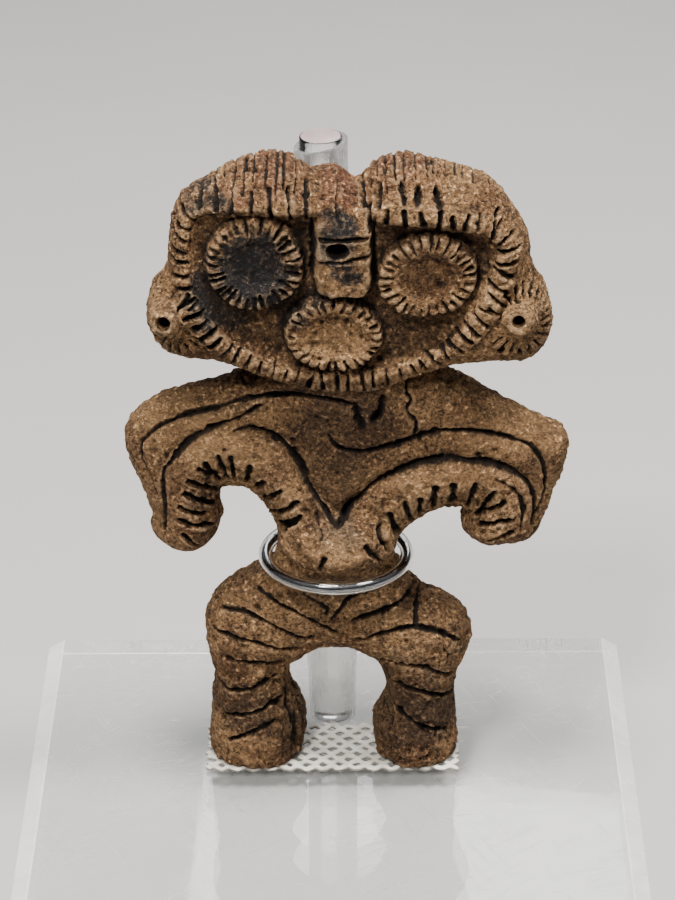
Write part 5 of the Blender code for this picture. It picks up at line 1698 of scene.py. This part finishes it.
@dataclass
class GripMat:
    """The knitted grip mat: wavy strands that meet in turn and leave long holes between them."""

    strands: int = 9
    wave_length: float = 0.0042
    wave: float = 0.00062
    half_width: float = 0.00090
    half_height: float = 0.00055
    end_inset: float = 0.0007
    end_spread: float = 0.0006
    voxel: float = 0.00021
    steps_per_wave: int = 14
    sides: int = 12

    def build(self) -> bpy.types.Object:
        """Builds the mat."""
        low, high = (np.array(corner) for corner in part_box("grip_mat"))
        rng = random.Random(Seed.MAT)
        margin = self.half_width * 1.15
        rows = np.linspace(low[1] + margin + self.wave, high[1] - margin - self.wave, self.strands)
        middle_z = (low[2] + high[2]) / 2
        width = high[0] - low[0]
        steps = int(width / self.wave_length * self.steps_per_wave)
        strands = []
        for i, y in enumerate(rows):
            start = low[0] + self.end_inset + rng.uniform(0, self.end_spread)
            end = high[0] - self.end_inset - rng.uniform(0, self.end_spread)
            x = np.linspace(start, end, steps)
            phase = 2 * math.pi * x / self.wave_length + math.pi * i + 0.35 * self._swell(x, 0.023, 1.3 * i)
            drift = 0.00016 * self._swell(x, 0.017, i * 1.9)
            lumps = 1 + 0.12 * self._swell(x, 0.0031, 2.1 * i) + 0.09 * self._swell(x, 0.0013, i)
            swing = self.wave * (1 + 0.2 * self._swell(x, 0.011, 2.7 * i))
            lift = 0.00009 * np.sin(phase * 0.5 + i)
            centres = np.stack([x, y + swing * np.cos(phase) + drift, middle_z + lift], axis=1)
            ups = np.tile([0.0, 0.0, 1.0], (steps, 1))
            radii = np.stack([self.half_width * lumps, self.half_height * (0.88 + 0.04 * lumps)], axis=1)
            name = f"strand_{i}"
            strands.append(mesh_object(name, tube_mesh(name, centres, ups, radii, self.sides, False)))
        mat = remeshed(joined(strands, "knitted_mat"), self.voxel * (1), 3)
        self._roughen(mat.data, low, high)
        return mat

    @staticmethod
    def _swell(x: Array, length: float, start: float) -> Array:
        """A sine along a strand: its wave length, and the angle it starts from."""
        return np.sin(2 * math.pi * x / length + start)

    @staticmethod
    def _roughen(mesh: bpy.types.Mesh, low: Array, high: Array) -> None:
        """Makes the yarn uneven, and stores where it gets painted shade: lower down the strands.

        Args:
            mesh: The mat's mesh.
            low: Lowest corner of its solid's box, which it stays inside.
            high: Highest corner of that box.
        """
        points, normals = points_of(mesh), normals_of(mesh)
        field = NoiseField(Seed.YARN)
        shift = 0.00010 * field.at(points, 0.0011, 0) + 0.00005 * field.at(points, 0.0005, 1)
        level = (high[2] - points[:, 2]) / (high[2] - low[2])
        moved = points + normals * shift[:, None]
        set_points(mesh, np.clip(moved, low, high))
        # Painted shade lower down the strands.
        set_mask(mesh, "hollow", eased(level, 0.06, 0.48))
        shaded_smooth(mesh)

    def dress(self, mat: bpy.types.Object, material: bpy.types.Material, plate: bpy.types.Object) -> None:
        """Gives the mat its yarn and ties it to the frame."""
        place_piece(mat, ["grip_mat"], material)


@dataclass
class SupportPost:
    """The clear rod behind the figure and the clear tube pulled over it."""

    radius: float = 0.005
    height: float = 0.158
    x: float = 0.0003
    y: float = 0.0385
    base_z: float = 0.0103
    lean_deg: float = 0.6
    fit_gap: float = 0.0003
    wall: float = 0.00105
    foot_wall: float = 0.0005
    taper_height: float = 0.020
    below_top: float = 0.0004
    cut_slant: float = 0.0025
    eased_edge: float = 0.00035
    level_normal: float = 0.95
    sawn_depth: float = 0.001
    sides: int = 96

    def _frame(self) -> Matrix:
        """The matrix that stands a piece at the post's foot, with the post's lean."""
        foot = Matrix.Translation((self.x, self.y, self.base_z))
        return foot @ Matrix.Rotation(math.radians(-self.lean_deg), 4, "Y")

    def build_rod(self) -> bpy.types.Object:
        """Builds the rod, its ends slightly eased."""
        lift = self.radius * math.sin(math.radians(self.lean_deg))
        e = self.eased_edge
        r, top = self.radius, lift + self.height
        profile = [(0.0, lift), (r - e, lift), (r - 0.3 * e, lift + 0.3 * e), (r, lift + e), (r, top - e),
                   (r - 0.3 * e, top - 0.3 * e), (r - e, top), (0.0, top)]
        mesh = lathe_mesh("clear_rod", profile, self.sides)
        mesh.transform(self._frame())
        return self._settled(mesh, 30.0)

    def build_sleeve(self) -> bpy.types.Object:
        """Builds the tube: narrower at its foot, cut at a slant at the top, and a little uneven."""
        bore = self.radius + self.fit_gap
        outer, foot = bore + self.wall, bore + self.foot_wall
        low = outer * math.sin(math.radians(self.lean_deg))
        top = self.height - self.below_top
        turn = low + self.taper_height
        heights = [*np.linspace(low, turn, 9), *np.linspace(turn + 0.004, top - 0.0002, 24)]
        outside = [(foot + (outer - foot) * float(eased(np.array(h), low, turn)), float(h)) for h in heights]
        profile = [(bore, low), *outside, (outer - 0.0001, top), (bore + 0.0001, top), (bore, top - 0.0002)]
        mesh = lathe_mesh("clear_sleeve", profile, self.sides)
        points = points_of(mesh)
        upper = eased(points[:, 2], top - 0.012, top)
        points[:, 2] -= upper * (self.cut_slant / 2) * (1 - points[:, 0] / outer)
        angle = np.arctan2(points[:, 1], points[:, 0])
        outer_skin = np.hypot(points[:, 0], points[:, 1]) > bore + 0.0002
        wander = 0.00005 * np.sin(2 * angle + points[:, 2] * 130) * outer_skin
        points[:, :2] *= (1 - np.abs(wander) / outer)[:, None]
        set_points(mesh, points)
        mesh.transform(self._frame())
        return self._settled(mesh, 35.0)

    @staticmethod
    def _settled(mesh: bpy.types.Mesh, angle_deg: float) -> bpy.types.Object:
        """The mesh as an object, smooth apart from its sharp edges."""
        shaded_smooth(mesh)
        mesh.set_sharp_from_angle(angle=math.radians(angle_deg))
        return mesh_object(mesh.name, mesh)

    def dress(self, rod: bpy.types.Object, sleeve: bpy.types.Object, acrylic: bpy.types.Material,
              sawn: bpy.types.Material, vinyl: bpy.types.Material) -> None:
        """Dresses rod and tube and ties them to the frame.

        Args:
            rod: The rod.
            sleeve: The tube on it.
            acrylic: The rod's finish.
            sawn: That of its sawn top.
            vinyl: The tube's finish.
        """
        place_piece(rod, ["support_post"], acrylic)
        rod.data.materials.append(sawn)
        top = max(vertex.co.z for vertex in rod.data.vertices)
        for face in rod.data.polygons:
            if face.normal.z > self.level_normal and face.center.z > top - self.sawn_depth:
                face.material_index = 1
        place_piece(sleeve, ["post_sleeve"], vinyl)
        let_light_through(rod)
        let_light_through(sleeve)


@dataclass
class WaistRing:
    """The steel ring round the waist, its stem into the rod, and the clear tubing over the wire."""

    half_width: float = 0.0170
    half_depth: float = 0.01475
    wire: float = 0.0019
    x: float = 0.0016
    y: float = 0.0161
    z: float = 0.0696
    tilt_deg: float = 4.0
    stem_end_y: float = 0.0365
    stem_x: float = -0.0003
    sleeve_wall: float = 0.0004
    fit_gap: float = 0.0003
    open_deg: float = 80.0
    steps: int = 180
    sides: int = 24

    def _path(self, first_deg: float, last_deg: float, count: int, whole: bool) -> tuple[Array, Array]:
        """Follows the ring's oval.

        Args:
            first_deg: Where it starts, from the back.
            last_deg: Where it ends.
            count: Number of points.
            whole: Whether it returns to its start.

        Returns:
            The points, and the direction out of the ring's plane at each.
        """
        turn = np.radians(np.linspace(first_deg, last_deg, count, endpoint=not whole))
        tilt = math.radians(self.tilt_deg)
        back = self.half_depth * np.cos(turn)
        path = np.stack([
            self.x + self.half_width * np.sin(turn),
            self.y + back * math.cos(tilt),
            self.z + back * math.sin(tilt),
        ], axis=1)
        up = np.array([0.0, -math.sin(tilt), math.cos(tilt)])
        return path, np.tile(up, (count, 1))

    def build_ring(self) -> bpy.types.Object:
        """Builds the ring with its stem."""
        path, ups = self._path(0.0, 360.0, self.steps, True)
        radii = np.full((self.steps, 2), self.wire / 2)
        ring = mesh_object("steel_ring", tube_mesh("steel_ring", path, ups, radii, self.sides, True))
        tilt = math.radians(self.tilt_deg)
        back_y = self.y + self.half_depth * math.cos(tilt)
        back_z = self.z + self.half_depth * math.sin(tilt)
        start = back_y - self.wire / 4
        radius = self.wire / 2 * 0.96
        foot, length = (self.stem_x, start, back_z), self.stem_end_y - start
        stem = cone("ring_stem", foot, (0, 1, 0), length, radius, radius, self.sides)
        weld = ring.modifiers.new("stem", "BOOLEAN")
        weld.operation = "UNION"
        weld.object = stem
        ring = baked(ring)
        bpy.data.objects.remove(stem)
        shaded_smooth(ring.data)
        ring.data.set_sharp_from_angle(angle=math.radians(40))
        return ring

    def build_sleeve(self) -> bpy.types.Object:
        """Builds the tubing, open at the back where the stem leaves."""
        bore = self.wire / 2 + self.fit_gap
        outer = bore + self.sleeve_wall
        opening = self.open_deg / 2
        path, ups = self._path(opening, 360.0 - opening, self.steps, False)
        skins = []
        for name, radius in (("tubing_out", outer), ("tubing_in", bore)):
            skins.append(tube_mesh(name, path, ups, np.full((self.steps, 2), radius), self.sides, False))
        mesh = self._between(skins[0], skins[1])
        shaded_smooth(mesh)
        mesh.set_sharp_from_angle(angle=math.radians(50))
        return mesh_object("ring_tubing", mesh)

    def _between(self, outside: bpy.types.Mesh, within: bpy.types.Mesh) -> bpy.types.Mesh:
        """Makes a pipe of two tubes: their caps go, and rings join them at the ends.

        Args:
            outside: The wider tube.
            within: The narrower one, with the same number of points.

        Returns:
            The pipe.
        """
        shape = bmesh.new()
        shape.from_mesh(outside)
        shape.from_mesh(within)
        shape.verts.ensure_lookup_table()
        caps = [face for face in shape.faces if len(face.verts) > 4]
        bmesh.ops.delete(shape, geom=caps, context="FACES_ONLY")
        shape.verts.ensure_lookup_table()
        count = self.steps * self.sides
        for start in (0, count - self.sides):
            for s in range(self.sides):
                t = (s + 1) % self.sides
                corners = (start + s, start + t, count + start + t, count + start + s)
                shape.faces.new([shape.verts[k] for k in corners])
        bmesh.ops.recalc_face_normals(shape, faces=shape.faces)
        return mesh_from(shape, "ring_tubing")

    def dress(self, ring: bpy.types.Object, tubing: bpy.types.Object, steel: bpy.types.Material,
              vinyl: bpy.types.Material) -> None:
        """Gives ring and tubing their finishes and ties them to the frame."""
        place_piece(ring, ["waist_ring"], steel)
        place_piece(tubing, ["ring_sleeve"], vinyl)
        let_light_through(tubing)


# The studio

@dataclass(frozen=True)
class SoftLight:
    """A soft square light: its place, side, power and colour."""

    name: str
    place: Point
    side: float
    power: float
    colour: Point = (1.0, 1.0, 1.0)


@dataclass
class Studio:
    """A plain pale floor, soft lights and the camera at the photograph's angle."""

    focal_pixels: float = 3300.0
    image_height: float = 900.0
    sensor: float = 36.0
    pitch_deg: float = 28.05
    yaw_deg: float = 0.44
    roll_deg: float = -0.5
    eye: Point = (0.0074, -0.6701, 0.4634)
    target: Point = (0.0, 0.02, 0.09)
    floor_half: float = 2.0
    floor_z: float = -0.0003
    floor_colour: Colour = (0.42, 0.414, 0.405, 1.0)
    floor_darker: float = 0.97
    floor_patches: float = 6.0
    floor_roughness: float = 0.85
    sky_low: Colour = (0.05, 0.051, 0.055, 1.0)
    sky_high: Colour = (0.34, 0.345, 0.36, 1.0)
    lights: tuple[SoftLight, ...] = (
        SoftLight("key", (-0.07, -0.12, 0.98), 0.18, 12.8, (1.0, 0.96, 0.90)),
        SoftLight("second", (0.26, -0.06, 0.85), 0.14, 7.4, (1.0, 0.96, 0.90)),
        SoftLight("front", (-0.22, -0.52, 0.90), 0.16, 9.2, (1.0, 0.97, 0.92)),
        SoftLight("rear", (0.10, 0.60, 0.65), 0.40, 2.5, (0.98, 0.99, 1.0)),
    )

    def build(self, effects: EffectLibrary) -> None:
        """Builds floor, lights, sky and camera."""
        self._floor(effects)
        self._sky()
        for light in self.lights:
            self._light(light)
        self._camera()

    def _floor(self, effects: EffectLibrary) -> None:
        """The pale floor."""
        half = self.floor_half
        mesh = bpy.data.meshes.new("floor")
        corners = [(-half, -half), (half, -half), (half, half), (-half, half)]
        mesh.from_pydata([(x, y, self.floor_z) for x, y in corners], [], [(0, 1, 2, 3)])
        floor = mesh_object("floor", mesh)
        made, tree, shader = new_material("pale_floor")
        darker = tuple(self.floor_darker * c for c in self.floor_colour[:3]) + (1.0,)
        tone = effects.mottled(tree, own_coordinates(tree), self.floor_patches, self.floor_colour, darker)
        set_sockets(tree, shader, {"Base Color": tone, "Roughness": self.floor_roughness})
        mesh.materials.append(made)
        floor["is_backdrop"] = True

    def _sky(self) -> None:
        """The light from all round: a bright ceiling that darkens towards the level of the floor."""
        world = bpy.data.worlds.new("soft_sky")
        world.use_nodes = True
        tree = world.node_tree
        aim = tree.nodes.new("ShaderNodeTexCoord").outputs["Generated"]
        height = add_node(tree, "ShaderNodeSeparateXYZ", {0: aim}).outputs["Z"]
        sky = mixed(tree, stepped(tree, height, 0.05, 0.75), self.sky_low, self.sky_high)
        tree.links.new(sky, tree.nodes["Background"].inputs["Color"])
        bpy.context.scene.world = world

    def _light(self, light: SoftLight) -> None:
        """One soft light, aimed at the figure."""
        data = bpy.data.lights.new(light.name, "AREA")
        data.shape = "SQUARE"
        data.size = light.side
        data.energy = light.power
        data.color = light.colour
        obj = bpy.data.objects.new(light.name, data)
        bpy.context.scene.collection.objects.link(obj)
        obj.location = light.place
        aim = Vector(self.target) - Vector(light.place)
        obj.rotation_euler = aim.to_track_quat("-Z", "Y").to_euler()

    def _camera(self) -> None:
        """The camera, worked out from the plate's edges and the post's ends in the photograph."""
        data = bpy.data.cameras.new("photo_view")
        data.sensor_width = self.sensor
        data.lens = self.sensor * self.focal_pixels / self.image_height
        data.clip_start = 0.01
        camera = bpy.data.objects.new("photo_view", data)
        bpy.context.scene.collection.objects.link(camera)
        pitch, yaw, roll = (math.radians(v) for v in (self.pitch_deg, self.yaw_deg, self.roll_deg))
        ahead = Vector((-math.sin(yaw) * math.cos(pitch), math.cos(yaw) * math.cos(pitch), -math.sin(pitch)))
        level = Vector((math.cos(yaw), math.sin(yaw), 0))
        upright = level.cross(ahead)
        right = level * math.cos(roll) + upright * math.sin(roll)
        up = upright * math.cos(roll) - level * math.sin(roll)
        matrix = Matrix((right, up, -ahead)).transposed().to_4x4()
        matrix.translation = Vector(self.eye)
        camera.matrix_world = matrix
        bpy.context.scene.camera = camera


def write_sizes() -> None:
    """Works out the CAD box and the visual model's box as plain lists."""
    boxes = {"cad": CAD_BOX, "visual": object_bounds()}
    plain = {name: [[float(v) for v in corner] for corner in box] for name, box in boxes.items()}


def main() -> None:
    """Builds every piece in order and reports it."""
    logging.basicConfig(level=logging.INFO, format="%(message)s")
    effects = EffectLibrary()
    Studio().build(effects)
    acrylic, vinyl = ACRYLIC.material(effects), VINYL.material(effects)

    plate_maker = BasePlate()
    plate = plate_maker.build()
    plate_maker.dress(plate, acrylic, CUT_EDGE.material(effects))
    LOG.info("base plate: %d faces", len(plate.data.polygons))

    mat_maker = GripMat()
    mat = mat_maker.build()
    mat_maker.dress(mat, WhiteKnit().material(effects), plate)
    LOG.info("grip mat: %d faces", len(mat.data.polygons))

    post_maker = SupportPost()
    rod, sleeve = post_maker.build_rod(), post_maker.build_sleeve()
    post_maker.dress(rod, sleeve, acrylic, SAWN_END_PAINTED_REFLECTION.material(effects), vinyl)
    LOG.info("post: %d and %d faces", len(rod.data.polygons), len(sleeve.data.polygons))

    ring_maker = WaistRing()
    ring, tubing = ring_maker.build_ring(), ring_maker.build_sleeve()
    ring_maker.dress(ring, tubing, PolishedSteel().material(effects), THIN_VINYL.material(effects))
    LOG.info("waist ring: %d and %d faces", len(ring.data.polygons), len(tubing.data.polygons))

    figure_maker = ClayFigurine()
    figure = figure_maker.build()
    figure_maker.dress(figure, FiredClay().material(effects))
    LOG.info("figurine: %d faces", len(figure.data.polygons))
    write_sizes()


if __name__ == "__main__":
    main()
